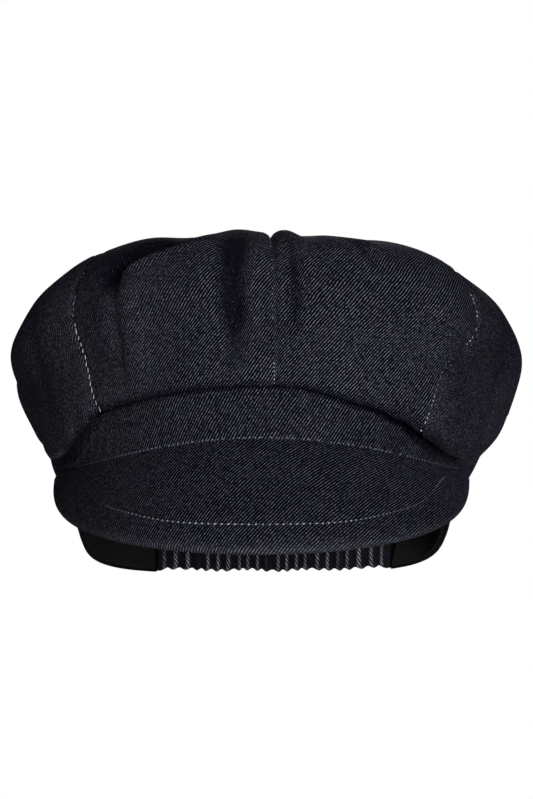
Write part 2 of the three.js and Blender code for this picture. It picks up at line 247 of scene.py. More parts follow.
@dataclass(frozen=True)
class CrownForm:
    """The crown's surface: a foot rolled over the band, a flank and a dome, with puff, seams and folds."""

    form: HeadForm = HeadForm()
    bulge: Plan = Plan(101.5, 108, 106, 2.15, 2)
    top: float = 105
    apex_back: float = 4
    lower_share: float = 0.29
    power: float = 2.15
    flank_power: float = 1.5
    level_side: float = 62
    level_front: float = 56
    level_back: float = 54
    puff_height: float = 3
    puff_power: float = 0.8
    seam_depth: float = 0.9
    seam_half: float = 1.7
    seam_lap: float = 0.3
    lap_radius: float = 4
    roll_depth: float = 1.0
    roll_half: float = 0.75
    seat: float = 0.2
    foot_start: float = -1.4
    foot_over: float = 0.03
    foot_lowest: float = 0.11
    foot_fullest: float = 0.2
    foot_settled: float = 0.5
    foot_slim: float = 0.65
    roll_least: float = 1.2
    roll_by_sink: float = 0.4
    roll_full_sink: float = 6.5
    puff_in: tuple = (0.02, 0.3)
    puff_out: tuple = (0.75, 1)
    closing: tuple = (0.9, 1)
    # Painted shade: in folds by their depth, towards the top and on the underside of the crown's foot.
    deep: tuple = (0.6, 4)
    top_painted_shade: float = 0.3
    top_painted_shade_rises: tuple = (0.38, 0.56)
    foot_shade_from: float = 0.8
    foot_shade_front: float = 1.55
    foot_shade_side: float = 1.95
    foot_shade_turns: tuple = (8, 30)
    foot_shade_right_end: tuple = (54, 66)
    foot_shade_left_end: tuple = (47, 57)
    pucker: float = 0.22
    pucker_inset: float = 3
    pucker_half: float = 3.2
    slack: float = 0.35
    lie_in: tuple = (0.04, 0.14)
    lie_out: tuple = (0.7, 0.95)
    climb_length: float = 175

    def widest_level(self, bearing: np.ndarray) -> np.ndarray:
        """Height of the crown's widest level.

        Args:
            bearing: degrees about +Z.

        Returns:
            Heights in millimetres.
        """
        cosine = np.cos(np.radians(bearing))
        ends = np.where(cosine > 0, self.level_front, self.level_back)
        return blend(self.level_side, ends, cosine**2)

    def sink(self, bearing: np.ndarray) -> np.ndarray:
        """How far the foot of the crown sinks over the band.

        Args:
            bearing: degrees about +Z.

        Returns:
            Depths in millimetres.
        """
        turn = turn_from(bearing)
        places = np.array([place for place, _ in SINKS], float)
        depths = np.array([depth for _, depth in SINKS], float)
        after = np.clip(np.searchsorted(places, turn), 1, len(places) - 1)
        return blend(depths[after - 1], depths[after], smooth(turn, places[after - 1], places[after]))

    def section(self, bearing: np.ndarray, rise: np.ndarray) -> tuple[np.ndarray, np.ndarray]:
        """Radius and height of the crown before puff and folds.

        Args:
            bearing: degrees about +Z.
            rise: 0 at the band to 1 at the top.

        Returns:
            Radii and heights in millimetres.
        """
        bulge = self.bulge.radius(bearing)
        level = self.widest_level(bearing)
        turn = np.radians(90 * np.clip((rise - self.lower_share) / (1 - self.lower_share), 0, 1))
        dome_radius = bulge * np.cos(turn) ** (2 / self.power)
        dome_z = blend(level, self.top, np.sin(turn) ** (2 / self.power))
        climb = np.clip(rise / self.lower_share, 0, 1)
        sink = self.sink(bearing)
        hang = smooth(climb, self.foot_over, self.foot_lowest)
        hang = hang * (1 - smooth(climb, self.foot_lowest, self.foot_settled))
        roll = smooth(climb, 0, self.foot_fullest) * (1 - smooth(climb, self.foot_fullest, self.foot_slim))
        low_radius = blend(bulge, self.form.head.radius(bearing), (1 - climb) ** self.flank_power)
        low_radius = low_radius + self.foot_start * (1 - smooth(climb, 0, self.foot_over))
        rolled = self.roll_least + self.roll_by_sink * np.minimum(sink, self.roll_full_sink)
        low_radius = low_radius + rolled * roll
        low_z = blend(self.form.band_height - self.seat, level, climb) - sink * hang
        above = rise > self.lower_share
        return np.where(above, dome_radius, low_radius), np.where(above, dome_z, low_z)

    def base(self, bearing: np.ndarray, rise: np.ndarray) -> np.ndarray:
        """Points of the crown before puff and folds; the top closes a little behind the middle.

        Args:
            bearing: degrees about +Z.
            rise: 0 at the band to 1 at the top.

        Returns:
            Points in millimetres.
        """
        radius, z = self.section(bearing, rise)
        closed = np.where(rise > self.lower_share, 1 - radius / self.bulge.radius(bearing), 0)
        return polar(bearing, radius, z, self.apex_back * closed)

    def seam_bearing(self, seam: tuple, rise: np.ndarray) -> np.ndarray:
        """The bearing of a crown seam at a rise.

        Args:
            seam: a row of SEAMS.
            rise: 0 at the band to 1 at the top.

        Returns:
            Degrees about +Z.
        """
        _, band, bulge, top = seam
        low = blend(band, bulge, smooth(rise, 0, self.lower_share))
        return blend(low, top, smooth(rise, self.lower_share, 1))

    def normal(self, bearing: np.ndarray, rise: np.ndarray) -> np.ndarray:
        """Directions out of the crown, smoothed over a short climb.

        Args:
            bearing: degrees about +Z.
            rise: 0 at the band to 1 at the top.

        Returns:
            Directions of length 1.
        """
        reach = 0.01
        along = self.base(bearing + 1, rise) - self.base(bearing - 1, rise)
        up = self.base(bearing, np.minimum(1, rise + reach)) - self.base(bearing, np.maximum(0, rise - reach))
        return unit(np.cross(along, up))

    def panel_bearings(self, index: int, across: np.ndarray, rise: np.ndarray) -> tuple:
        """Bearings across a panel.

        Args:
            index: which seam the panel begins at.
            across: 0 at its first seam to 1 at its second.
            rise: 0 at the band to 1 at the top.

        Returns:
            Bearings, the radius there and the distance to the nearer seam in millimetres.
        """
        first = SEAMS[index]
        second = SEAMS[(index + 1) % len(SEAMS)]
        seam_radius, _ = self.section(np.asarray(float(first[2])), rise)
        lap = np.degrees(self.seam_lap / 2 / np.maximum(seam_radius, self.lap_radius))
        start = self.seam_bearing(first, rise) - lap
        end = self.seam_bearing(second, rise) + (360 if second[2] < first[2] else 0) + lap
        bearing = blend(start, end, across)
        radius, _ = self.section(bearing, rise)
        near = np.minimum(across, 1 - across) * np.radians(end - start) * radius
        return bearing, radius, near

    def panel_point(self, index: int, across: np.ndarray, rise: np.ndarray) -> np.ndarray:
        """Points of a crown panel's outer face.

        Args:
            index: which seam the panel begins at.
            across: 0 at its first seam to 1 at its second.
            rise: 0 at the band to 1 at the top.

        Returns:
            Points in millimetres.
        """
        bearing, radius, near = self.panel_bearings(index, across, rise)
        puff = self.puff_height * np.sin(np.pi * np.clip(across, 0, 1)) ** self.puff_power
        puff = puff * smooth(rise, *self.puff_in) * (1 - smooth(rise, *self.puff_out))
        open_top = 1 - smooth(rise, *self.closing)
        groove = self.seam_depth * np.exp(-((near / self.seam_half) ** 2)) * open_top
        roll = self.roll_depth * np.exp(-((near / self.roll_half) ** 2)) * open_top
        out = puff - groove - roll
        for fold in FOLDS:
            out = out - fold.depth_at(bearing, rise, radius)
        out = out + self.fine_lie(index, bearing, rise, radius, near)
        return self.base(bearing, rise) + self.normal(bearing, rise) * out[..., None]

    def sunk(self, bearing: np.ndarray, rise: np.ndarray, radius: np.ndarray) -> np.ndarray:
        """How deep the folds lie in all, in millimetres, where they do not stand out."""
        return sum(np.maximum(0, fold.depth_at(bearing, rise, radius)) for fold in FOLDS + FINE_FOLDS)

    def painted_shade(self, bearing: np.ndarray, rise: np.ndarray, radius: np.ndarray) -> np.ndarray:
        """Painted shade, 0 to 1: darker in folds and shaded patches, towards the top and on the underside of
        the crown's foot, where shade falls.

        Args:
            bearing: degrees about +Z.
            rise: 0 at the band to 1 at the top.
            radius: distance from the middle in millimetres.

        Returns:
            The shares of painted shade.
        """
        painted_shade_share = sum(patch.depth_at(bearing, rise, radius) for patch in SHADE_PATCHES)
        # Painted shade: darker towards the top of the crown.
        painted_shade_share = painted_shade_share + self.top_painted_shade * smooth(rise, *self.top_painted_shade_rises)
        foot = self.foot_lowest * self.lower_share
        # Painted shade on the underside of the crown's foot, where it hangs over the band, fading out at both
        # ends.
        turn = turn_from(bearing)
        reach = blend(self.foot_shade_front, self.foot_shade_side, smooth(turn, *self.foot_shade_turns))
        under = 1 - smooth(rise, foot * self.foot_shade_from, foot * reach)
        under = under * (1 - smooth(-turn, *self.foot_shade_right_end)) * (1 - smooth(turn, *self.foot_shade_left_end))
        # Painted shade in folds as well, rising from the first to the second of deep, in millimetres of
        # depth.
        return np.clip(smooth(self.sunk(bearing, rise, radius), *self.deep) + painted_shade_share + under, 0, 1)

    def foot_level(self, bearing: np.ndarray) -> np.ndarray:
        """Height of the crown's lowest line, where it hangs over the band."""
        return self.section(bearing, np.full_like(bearing, self.foot_lowest * self.lower_share))[1]

    def fine_lie(self, index: int, bearing: np.ndarray, rise: np.ndarray, radius: np.ndarray,
                 near: np.ndarray) -> np.ndarray:
        """The cloth's own small folds and its pucker along the seams, in millimetres outwards.

        Args:
            index: which seam the panel begins at.
            bearing: degrees about +Z.
            rise: 0 at the band to 1 at the top.
            radius: distance from the middle in millimetres.
            near: distance to the nearer seam in millimetres.

        Returns:
            Distances in millimetres.
        """
        out = np.zeros_like(bearing)
        for fold in FINE_FOLDS + SLIMMED:
            out = out - fold.depth_at(bearing, rise, radius)
        arc = rise * self.climb_length + index * 3.7
        beside = np.exp(-(((near - self.pucker_inset) / self.pucker_half) ** 2))
        pucker = self.pucker * np.sin(arc * 0.95 + 1.3 * np.sin(arc * 0.21)) * beside
        slack = np.sin(np.radians(bearing) * 9 + 4 * rise) * np.sin(rise * 21 + bearing * 0.05 + index)
        held = (1 - smooth(rise, *self.lie_out)) * smooth(rise, *self.lie_in)
        return out + (pucker + self.slack * slack) * held


# Broad shallow folds that trim the crown's outline.
SLIMMED = (
    Fold(-86, 0.03, -86, 0.22, 26, 2.6, 0.05),
    Fold(-106, 0.05, -104, 0.14, 30, 2.8, 0.04),
    Fold(106, 0.05, 104, 0.12, 26, 2.2, 0.04),
    Fold(92, 0.12, 92, 0.2, 34, -1.2, 0.06),
    Fold(-88, 0.14, -88, 0.45, 40, 1.4, 0.08),
    Fold(90, 0.3, 90, 0.42, 40, 1.2, 0.06),
    Fold(22, 0.55, 19, 0.75, 18, 1.4, 0.08),
    Fold(-26, 0.56, -19, 0.74, 14, 1.5, 0.08),
)

# Patches of painted shade over the pocket, the valleys and the sides, where shade falls: here the depth is
# the share of painted shade.
SHADE_PATCHES = (
    Fold(-33, 0.42, -26, 0.62, 9.5, 0.7, 0.04),
    Fold(-31, 0.31, -33, 0.42, 5, 0.7, 0.03),
    Fold(-6.2, 0.08, -7.5, 0.58, 7.6, 0.06, 0.08),
    Fold(-18, 0.03, -18, 0.5, 14, 0.19, 0.05),
    Fold(6.4, 0.14, 6.2, 0.5, 2.2, 0.35, 0.1),
    Fold(62, 0.12, 72, 0.6, 22, 0.6, 0.12),
    Fold(-64, 0.3, -60, 0.6, 18, 0.2, 0.1),
    Fold(-60, 0.05, -62, 0.6, 28, 0.25, 0.05),
    Fold(-36, 0.08, -37, 0.5, 9, 0.36, 0.06),
    Fold(52, 0.06, 47, 0.2, 9, 0.4, 0.06),
)

# Smaller folds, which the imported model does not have.
FINE_FOLDS = (
    Fold(-1.4, 0.1, -1.8, 0.5, 4.4, -2),
    Fold(-6, 0.07, -6.1, 0.24, 4.2, 2.4, 0.06),
    Fold(-23, 0.46, -21, 0.72, 11, 2.6, 0.06),
    Fold(11.5, 0.5, 12, 0.72, 5, 1.4, 0.06),
    Fold(-34, 0.41, -17, 0.53, 7.5, 4.6, 0.03),
    Fold(-32.6, 0.36, -31, 0.47, 3.6, 3, 0.03),
    Fold(-29.5, 0.37, -13, 0.49, 6, -2.2, 0.03),
    Fold(-28.2, 0.08, -27.6, 0.34, 4, -1.2, 0.05),
    Fold(24, 0.38, 20.5, 0.56, 2.3, 2.2, 0.04),
    Fold(27, 0.34, 24, 0.54, 5, -0.9, 0.05),
    Fold(40, 0.12, 33, 0.34, 5, 0.9),
    Fold(-15, 0.1, -20, 0.4, 7, -0.8),
    Fold(70, 0.06, 63, 0.4, 5, 1.2),
    Fold(-62, 0.08, -58, 0.36, 6, 1.2),
    Fold(112, 0.05, 116, 0.5, 6, 1.6),
    Fold(-112, 0.06, -120, 0.45, 7, 1.6),
    Fold(100, 0.3, 108, 0.7, 10, 1.2),
    Fold(-150, 0.2, -140, 0.66, 8, 1.5),
    Fold(148, 0.3, 158, 0.7, 9, 1.3),
)


class Signal:
    """One output socket of a shader, which arithmetic turns into Math nodes."""

    def __init__(self, tree: "ShaderTree", socket: bpy.types.NodeSocket) -> None:
        """Wraps a socket of a tree."""
        self.tree = tree
        self.socket = socket

    def _math(self, operation: str, *operands: "Signal | float") -> "Signal":
        """A Math node on these operands, in order."""
        return self.tree.node("ShaderNodeMath", {"operation": operation}, dict(enumerate(operands)))

    def __add__(self, other: "Signal | float") -> "Signal":
        """This and other."""
        return self._math("ADD", self, other)

    def __radd__(self, other: float) -> "Signal":
        """Other and this."""
        return self._math("ADD", other, self)

    def __sub__(self, other: "Signal | float") -> "Signal":
        """This less other."""
        return self._math("SUBTRACT", self, other)

    def __rsub__(self, other: float) -> "Signal":
        """Other less this."""
        return self._math("SUBTRACT", other, self)

    def __mul__(self, other: "Signal | float") -> "Signal":
        """This times other."""
        return self._math("MULTIPLY", self, other)

    def __rmul__(self, other: float) -> "Signal":
        """Other times this."""
        return self._math("MULTIPLY", other, self)

    def __truediv__(self, other: float) -> "Signal":
        """This over other."""
        return self._math("DIVIDE", self, other)

    def __pow__(self, other: float) -> "Signal":
        """This to a power."""
        return self._math("POWER", self, other)

    def floor(self) -> "Signal":
        """The whole number below."""
        return self._math("FLOOR", self)

    def ridge(self) -> "Signal":
        """1 halfway between whole numbers, 0 on them."""
        return self._math("PINGPONG", self, 0.5) * 2.0

    def ramp(self, low: float, high: float) -> "Signal":
        """0 below low, 1 above high and an even S between them."""
        values = {"Value": self, "From Min": low, "From Max": high}
        return self.tree.node("ShaderNodeMapRange", {"interpolation_type": "SMOOTHSTEP"}, values)


class ShaderTree:
    """The node tree of one material."""

    def __init__(self, name: str) -> None:
        """Starts a material with only an output and a Principled shader.

        Args:
            name: the material's name.
        """
        self.material = bpy.data.materials.new(name)
        self.material.use_nodes = True
        self.tree = self.material.node_tree
        self.tree.nodes.clear()
        self.shader = self.tree.nodes.new("ShaderNodeBsdfPrincipled")
        output = self.tree.nodes.new("ShaderNodeOutputMaterial")
        self.tree.links.new(self.shader.outputs["BSDF"], output.inputs["Surface"])

    def node(self, kind: str, settings: dict, values: dict, output: int | str = 0) -> Signal:
        """Adds a node.

        Args:
            kind: Blender's type name of the node.
            settings: the node's own properties, which are set first.
            values: a number, colour or Signal for each socket, by name or place.
            output: which output is wanted.

        Returns:
            That output.
        """
        made = self.tree.nodes.new(kind)
        for key, value in settings.items():
            setattr(made, key, value)
        for key, value in values.items():
            if isinstance(value, Signal):
                self.tree.links.new(value.socket, made.inputs[key])
            else:
                made.inputs[key].default_value = value
        return Signal(self, made.outputs[output])

    def split(self, vector: Signal) -> tuple[Signal, Signal]:
        """The first two parts of a vector."""
        parts = [self.node("ShaderNodeSeparateXYZ", {}, {"Vector": vector}, axis) for axis in "XY"]
        return parts[0], parts[1]

    def join(self, x: Signal | float, y: Signal | float, z: Signal | float = 0.0) -> Signal:
        """A vector from its parts."""
        return self.node("ShaderNodeCombineXYZ", {}, {"X": x, "Y": y, "Z": z})

    def noise(self, vector: Signal, scale: float, detail: float = 0.0) -> Signal:
        """Soft noise about 0.5."""
        values = {"Vector": vector, "Scale": scale, "Detail": detail}
        return self.node("ShaderNodeTexNoise", {"noise_dimensions": "3D"}, values)

    def chance(self, vector: Signal) -> Signal:
        """An even chance value from 0 to 1 for each different vector."""
        return self.node("ShaderNodeTexWhiteNoise", {"noise_dimensions": "3D"}, {"Vector": vector})

    def mix(self, share: Signal | float, first: "Signal | tuple", second: "Signal | tuple") -> Signal:
        """A colour from first at share 0 to second at share 1."""
        settings = {"data_type": "RGBA", "clamp_factor": True}
        return self.node("ShaderNodeMix", settings, {0: share, 6: first, 7: second}, 2)

    def attribute(self, name: str) -> Signal:
        """A number that the piece's mesh holds at each point."""
        return self.node("ShaderNodeAttribute", {"attribute_name": name}, {}, "Fac")

    def feed(self, name: str, value: "Signal | float | tuple") -> None:
        """Sets or links one of the shader's sockets.

        Args:
            name: the socket's name.
            value: a number, a colour or a Signal.
        """
        if isinstance(value, Signal):
            self.tree.links.new(value.socket, self.shader.inputs[name])
        else:
            self.shader.inputs[name].default_value = value

    def bump(self, height: Signal, distance: float, strength: float) -> None:
        """Gives the shader a relief from a height between 0 and 1."""
        values = {"Height": height, "Distance": distance, "Strength": strength}
        self.feed("Normal", self.node("ShaderNodeBump", {}, values))


def colour(red: float, green: float, blue: float) -> tuple[float, float, float, float]:
    """A colour with no transparency, in linear light."""
    return (red, green, blue, 1.0)


@dataclass(frozen=True)
class Denim:
    """Indigo twill: pale broken lines and flecks on a near black ground."""

    name: str
    ground: tuple = colour(0.0025, 0.0022, 0.0066)
    weft: tuple = colour(0.3, 0.28, 0.345)
    cool_weft: tuple = colour(0.258, 0.286, 0.352)
    fleck: tuple = colour(0.5, 0.53, 0.62)
    pitch: float = 1.06
    dash: float = 0.95
    line_low: float = 0.58
    line_high: float = 0.97
    strength: float = 1.0
    relief: float = 0.6
    relief_depth: float = 0.00016
    waver: float = 1.2
    speck_size: float = 0.42
    haze: tuple = (0.02, 0.4)
    painted_shade_depth: float = 0.84
    roughness: float = 0.95
    specular: float = 0.02
    sheen: float = 0.02
    sheen_roughness: float = 0.45
    sheen_tint: tuple = colour(0.4, 0.36, 0.75)

    def build(self) -> bpy.types.Material:
        """Makes the material, whose lines run along the x of the cloth's own map, in millimetres.

        Returns:
            The material.
        """
        tree = ShaderTree(self.name)
        place = tree.node("ShaderNodeUVMap", {"uv_map": "cloth"}, {})
        along, across = tree.split(place)
        waver = tree.noise(tree.join(along * 0.07, across * 0.07), 1.0, 1.0)
        line = across / self.pitch + (waver - 0.5) * self.waver
        row = line.floor()
        step = along / self.dash + tree.chance(tree.join(row, 3.1)) * 7.0
        ridge = line.ridge().ramp(self.line_low, self.line_high)
        broken = tree.noise(tree.join(row * 9.7, step * 0.9), 1.0).ramp(0.34, 0.56)
        cell = tree.chance(tree.join(row, (step * 2.0).floor(), 0.7))
        cloudy = tree.noise(tree.join(along * 0.035, across * 0.035), 1.0, 3.0).ramp(0.3, 0.72)
        slub = tree.noise(tree.join((along + across) * 0.9, (along - across) * 0.04), 1.0, 1.0)
        clarity = tree.attribute("clarity")
        wear_and_highlight = tree.attribute("wear_and_highlight")
        lines = ridge * (0.42 + 0.58 * broken) * (0.2 + 1.2 * cell)
        size = self.speck_size
        speck = tree.chance(tree.join((along / size).floor(), (across / size).floor(), 5.3))
        haze = self.haze[0] + self.haze[1] * speck**6.0
        # Low clarity fades the lines and darkens the cloth, which some pieces use as painted shade.
        tone = clarity * lines + (1.0 - clarity) * (lines * 0.22 + haze)
        tone = tone * (0.86 + 0.2 * cloudy) * (0.84 + 0.32 * slub) * self.strength
        # The dark mark is painted shade, and the wear mark adds painted highlights on some folded edges to
        # real wear.
        tone = (tone + wear_and_highlight * (0.16 + 0.5 * ridge * cell)) * (1.0 - self.painted_shade_depth * tree.attribute("dark"))
        spark = tree.chance(tree.join(row, (step * 1.5).floor(), 9.4)).ramp(0.93, 1.0)
        spark = spark * ridge * (0.25 + 0.75 * clarity)
        patch = tree.noise(tree.join(along * 0.12, across * 0.12, 4.0), 1.0, 2.0).ramp(0.34, 0.58)
        patch = patch * (0.2 + 0.8 * clarity)
        shade = tree.mix(tone, self.ground, tree.mix(patch, self.weft, self.cool_weft))
        tree.feed("Base Color", tree.mix(spark * 0.3, shade, self.fleck))
        tree.feed("Roughness", self.roughness)
        tree.feed("Specular IOR Level", self.specular)
        tree.feed("Sheen Weight", self.sheen)
        tree.feed("Sheen Roughness", self.sheen_roughness)
        tree.feed("Sheen Tint", self.sheen_tint)
        height = ridge * (0.4 + 0.6 * broken) * (0.3 + 0.7 * clarity) + speck * 0.15
        tree.bump(height, self.relief_depth, self.relief)
        return tree.material


@dataclass(frozen=True)
class RibbedTape:
    """Black tape woven in fine ribs that run along it."""

    name: str
    level: float = 1.0
    pitch: float = 1.05
    pick_pitch: float = 0.55
    ground: tuple = colour(0.0045, 0.0045, 0.0046)
    rib: tuple = colour(0.037, 0.037, 0.0373)
    roughness: float = 0.8
    specular: float = 0.04
    sheen: float = 0.02
    relief_depth: float = 0.0003
    relief: float = 0.6

    def build(self) -> bpy.types.Material:
        """Makes the material, whose ribs run along the x of the cloth's own map.

        Returns:
            The material.
        """
        tree = ShaderTree(self.name)
        place = tree.node("ShaderNodeUVMap", {"uv_map": "cloth"}, {})
        along, across = tree.split(place)
        waver = tree.noise(tree.join(along * 0.2, across * 0.1), 1.0, 2.0)
        rib = (across / self.pitch + (waver - 0.5) * 0.5).ridge().ramp(0.05, 0.75)
        pick = (along / self.pick_pitch + across * 0.2).ridge()
        fuzz = tree.noise(tree.join(along, across), 2.4, 2.0)
        # The dark mark is painted shade.
        tone = (0.35 + 0.65 * rib) * (0.55 + 0.25 * pick) * (0.5 + fuzz) * (1.0 - tree.attribute("dark"))
        tree.feed("Base Color", tree.mix(tone * self.level, self.ground, self.rib))
        tree.feed("Roughness", self.roughness)
        tree.feed("Specular IOR Level", self.specular)
        tree.feed("Sheen Weight", self.sheen)
        tree.bump(rib * 0.7 + pick * 0.3, self.relief_depth, self.relief)
        return tree.material


@dataclass(frozen=True)
class Thread:
    """Twisted sewing thread."""

    name: str
    shade: tuple
    dark_share: float = 0.55
    fuzz_scale: float = 900
    roughness: float = 0.75
    sheen: float = 0.1
    relief_depth: float = 0.0001
    relief: float = 0.3

    def build(self) -> bpy.types.Material:
        """Makes the material, a little uneven in tone along the thread.

        Returns:
            The material.
        """
        tree = ShaderTree(self.name)
        place = tree.node("ShaderNodeTexCoord", {}, {}, "Object")
        fuzz = tree.noise(place, self.fuzz_scale, 2.0)
        dark = colour(*(part * self.dark_share for part in self.shade[:3]))
        tree.feed("Base Color", tree.mix(fuzz.ramp(0.3, 0.65), dark, self.shade))
        tree.feed("Roughness", self.roughness)
        tree.feed("Sheen Weight", self.sheen)
        tree.bump(fuzz, self.relief_depth, self.relief)
        return tree.material


class Held(Enum):
    STRETCHED = "stretched"
    GATHERED = "gathered"


def steps(first: float, last: float, count: int) -> np.ndarray:
    """Evenly spaced values from first to last, both included."""
    return np.linspace(first, last, count + 1)


def grid_lengths(points: np.ndarray) -> tuple[np.ndarray, np.ndarray]:
    """Lays a grid of points out flat, from its middle column.

    Args:
        points: rows by columns by 3.

    Returns:
        How far each point is to the right of the middle column, and how far up its row is.
    """
    across = np.linalg.norm(np.diff(points, axis=1), axis=-1)
    u = np.concatenate([np.zeros((len(points), 1)), np.cumsum(across, axis=1)], axis=1)
    middle = points.shape[1] // 2
    u = u - u[:, middle : middle + 1]
    climbs = np.linalg.norm(np.diff(points[:, middle], axis=0), axis=-1)
    v = np.concatenate([[0.0], np.cumsum(climbs)])
    return u, np.broadcast_to(v[:, None], u.shape)


def turned(u: np.ndarray, v: np.ndarray, lean: float) -> np.ndarray:
    """The cloth's own map: x runs along the twill lines, which lean so many degrees up from u.

    Args:
        u: places across the flat cloth.
        v: places up it.
        lean: degrees that the lines lean.

    Returns:
        The same places on the cloth's own map.
    """
    angle = math.radians(lean)
    along = u * math.cos(angle) + v * math.sin(angle)
    across = v * math.cos(angle) - u * math.sin(angle)
    return np.stack([along, across], axis=-1)


def set_marks(mesh: bpy.types.Mesh, marks: dict) -> None:
    """Gives each point of a mesh its numbers, by name.

    Args:
        mesh: the mesh.
        marks: a number for each point, by name.
    """
    for name, values in marks.items():
        layer = mesh.attributes.new(name, "FLOAT", "POINT")
        layer.data.foreach_set("value", np.ascontiguousarray(values, np.float32).ravel())


def set_cloth_map(mesh: bpy.types.Mesh, flat: np.ndarray) -> None:
    """Gives a mesh its cloth map from a place for each point.

    Args:
        mesh: the mesh.
        flat: the place of each point.
    """
    layer = mesh.uv_layers.get("cloth") or mesh.uv_layers.new(name="cloth")
    corners = np.zeros(len(mesh.loops), np.int32)
    mesh.loops.foreach_get("vertex_index", corners)
    places = flat.reshape(-1, 2)[corners]
    layer.data.foreach_set("uv", np.ascontiguousarray(places, np.float32).ravel())


def choose(piece: bpy.types.Object) -> None:
    """Selects a piece alone and makes it the active one.

    Args:
        piece: the piece.
    """
    bpy.ops.object.select_all(action="DESELECT")
    piece.select_set(True)
    bpy.context.view_layer.objects.active = piece


def closed_piece(name: str, points: np.ndarray, faces: list, finish: bpy.types.Material) -> bpy.types.Object:
    """A piece of closed forms, with its faces turned outwards.

    Args:
        name: the piece's name.
        points: its points in millimetres.
        faces: the points of each face.
        finish: its material.

    Returns:
        The new object, selected alone.
    """
    mesh = bpy.data.meshes.new(name)
    mesh.from_pydata((points * MM).reshape(-1, 3).tolist(), [], faces)
    mesh.materials.append(finish)
    piece = bpy.data.objects.new(name, mesh)
    bpy.context.scene.collection.objects.link(piece)
    choose(piece)
    bpy.ops.object.mode_set(mode="EDIT")
    bpy.ops.mesh.select_all(action="SELECT")
    bpy.ops.mesh.normals_make_consistent(inside=False)
    bpy.ops.object.mode_set(mode="OBJECT")
    return piece


def finish_piece(piece: bpy.types.Object, nodes: tuple = ()) -> None:
    """Lets a piece ride on the cap and stand for its CAD nodes.

    Args:
        piece: the piece.
        nodes: the CAD nodes that it stands for, if any.
    """
    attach(piece, "root")
    if nodes:
        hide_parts(*nodes)
    log.info("%s: %d faces", piece.name, len(piece.data.polygons))


def cloth_grid(name: str, points: np.ndarray, flat: np.ndarray, marks: dict) -> bpy.types.Object:
    """One face of a sheet of cloth.

    Args:
        name: the piece's name.
        points: rows by columns by 3, in millimetres, with its outer face towards the viewer when columns run
            to the right and rows up.
        flat: each point's place on the cloth's own map.
        marks: named numbers for each point.

    Returns:
        The new object.
    """
    rows, columns = points.shape[:2]
    bpy.ops.mesh.primitive_grid_add(x_subdivisions=columns - 1, y_subdivisions=rows - 1, size=1)
    piece = bpy.context.object
    piece.name = name
    piece.data.name = name
    for layer in list(piece.data.uv_layers):
        piece.data.uv_layers.remove(layer)
    piece.data.vertices.foreach_set("co", np.ascontiguousarray(points * MM, np.float32).ravel())
    set_cloth_map(piece.data, flat)
    set_marks(piece.data, marks)
    piece.data.update()
    return piece


def give_wall(piece: bpy.types.Object, wall: float, outer: bpy.types.Material,
              inner: bpy.types.Material | None = None, bound: bool = False) -> None:
    """Gives a sheet its thickness, inwards from its outer face, and dresses it.

    Args:
        piece: a sheet with one face.
        wall: its thickness in millimetres.
        outer: the finish of its outer face.
        inner: the finish of its inner face, where that differs.
        bound: whether the inner finish covers its edges too.
    """
    choose(piece)
    piece.data.materials.append(outer)
    solid = piece.modifiers.new("wall", "SOLIDIFY")
    solid.thickness = wall * MM
    solid.offset = -1
    solid.use_rim = True
    if inner is not None:
        piece.data.materials.append(inner)
        solid.material_offset = 1
        solid.material_offset_rim = 1 if bound else 0
    bpy.ops.object.modifier_apply(modifier=solid.name)
    bpy.ops.object.shade_smooth_by_angle(angle=SMOOTH_ANGLE)
    piece.select_set(False)


def section_loft(name: str, points: np.ndarray, flat: np.ndarray, marks: dict,
                 outer: bpy.types.Material) -> bpy.types.Object:
    """A closed form from one closed section after another.

    Args:
        name: the piece's name.
        points: places round the section by stations by 3, in millimetres; the first and last place differ.
        flat: each point's place on the cloth's own map.
        marks: named numbers for each point.
        outer: its finish.

    Returns:
        The new object.
    """
    around, stations = points.shape[:2]
    index = np.arange(around * stations).reshape(around, stations)
    after = np.roll(index, -1, axis=0)
    quads = np.stack([index[:, :-1], index[:, 1:], after[:, 1:], after[:, :-1]], axis=-1).reshape(-1, 4)
    faces = quads.tolist() + [index[:, 0].tolist(), index[::-1, -1].tolist()]
    piece = closed_piece(name, points, faces, outer)
    set_cloth_map(piece.data, flat)
    set_marks(piece.data, marks)
    bpy.ops.object.shade_smooth_by_angle(angle=SMOOTH_ANGLE)
    piece.select_set(False)
    return piece


def declare_sheet(u: np.ndarray, v: np.ndarray) -> None:
    """Works out a sheet's length and area from its flat layout in millimetres, and keeps neither.

    Args:
        u: places across the flat cloth, rows by columns.
        v: places up it.
    """
    length = float(v.max() - v.min()) * MM
    corners = (u[:-1, :-1], u[:-1, 1:], u[1:, :-1], u[1:, 1:])
    widths = (corners[1] - corners[0] + corners[3] - corners[2]) / 2
    heights = (v[1:, :-1] - v[:-1, :-1] + v[1:, 1:] - v[:-1, 1:]) / 2
    area = float(np.abs(widths * heights).sum()) * MM * MM


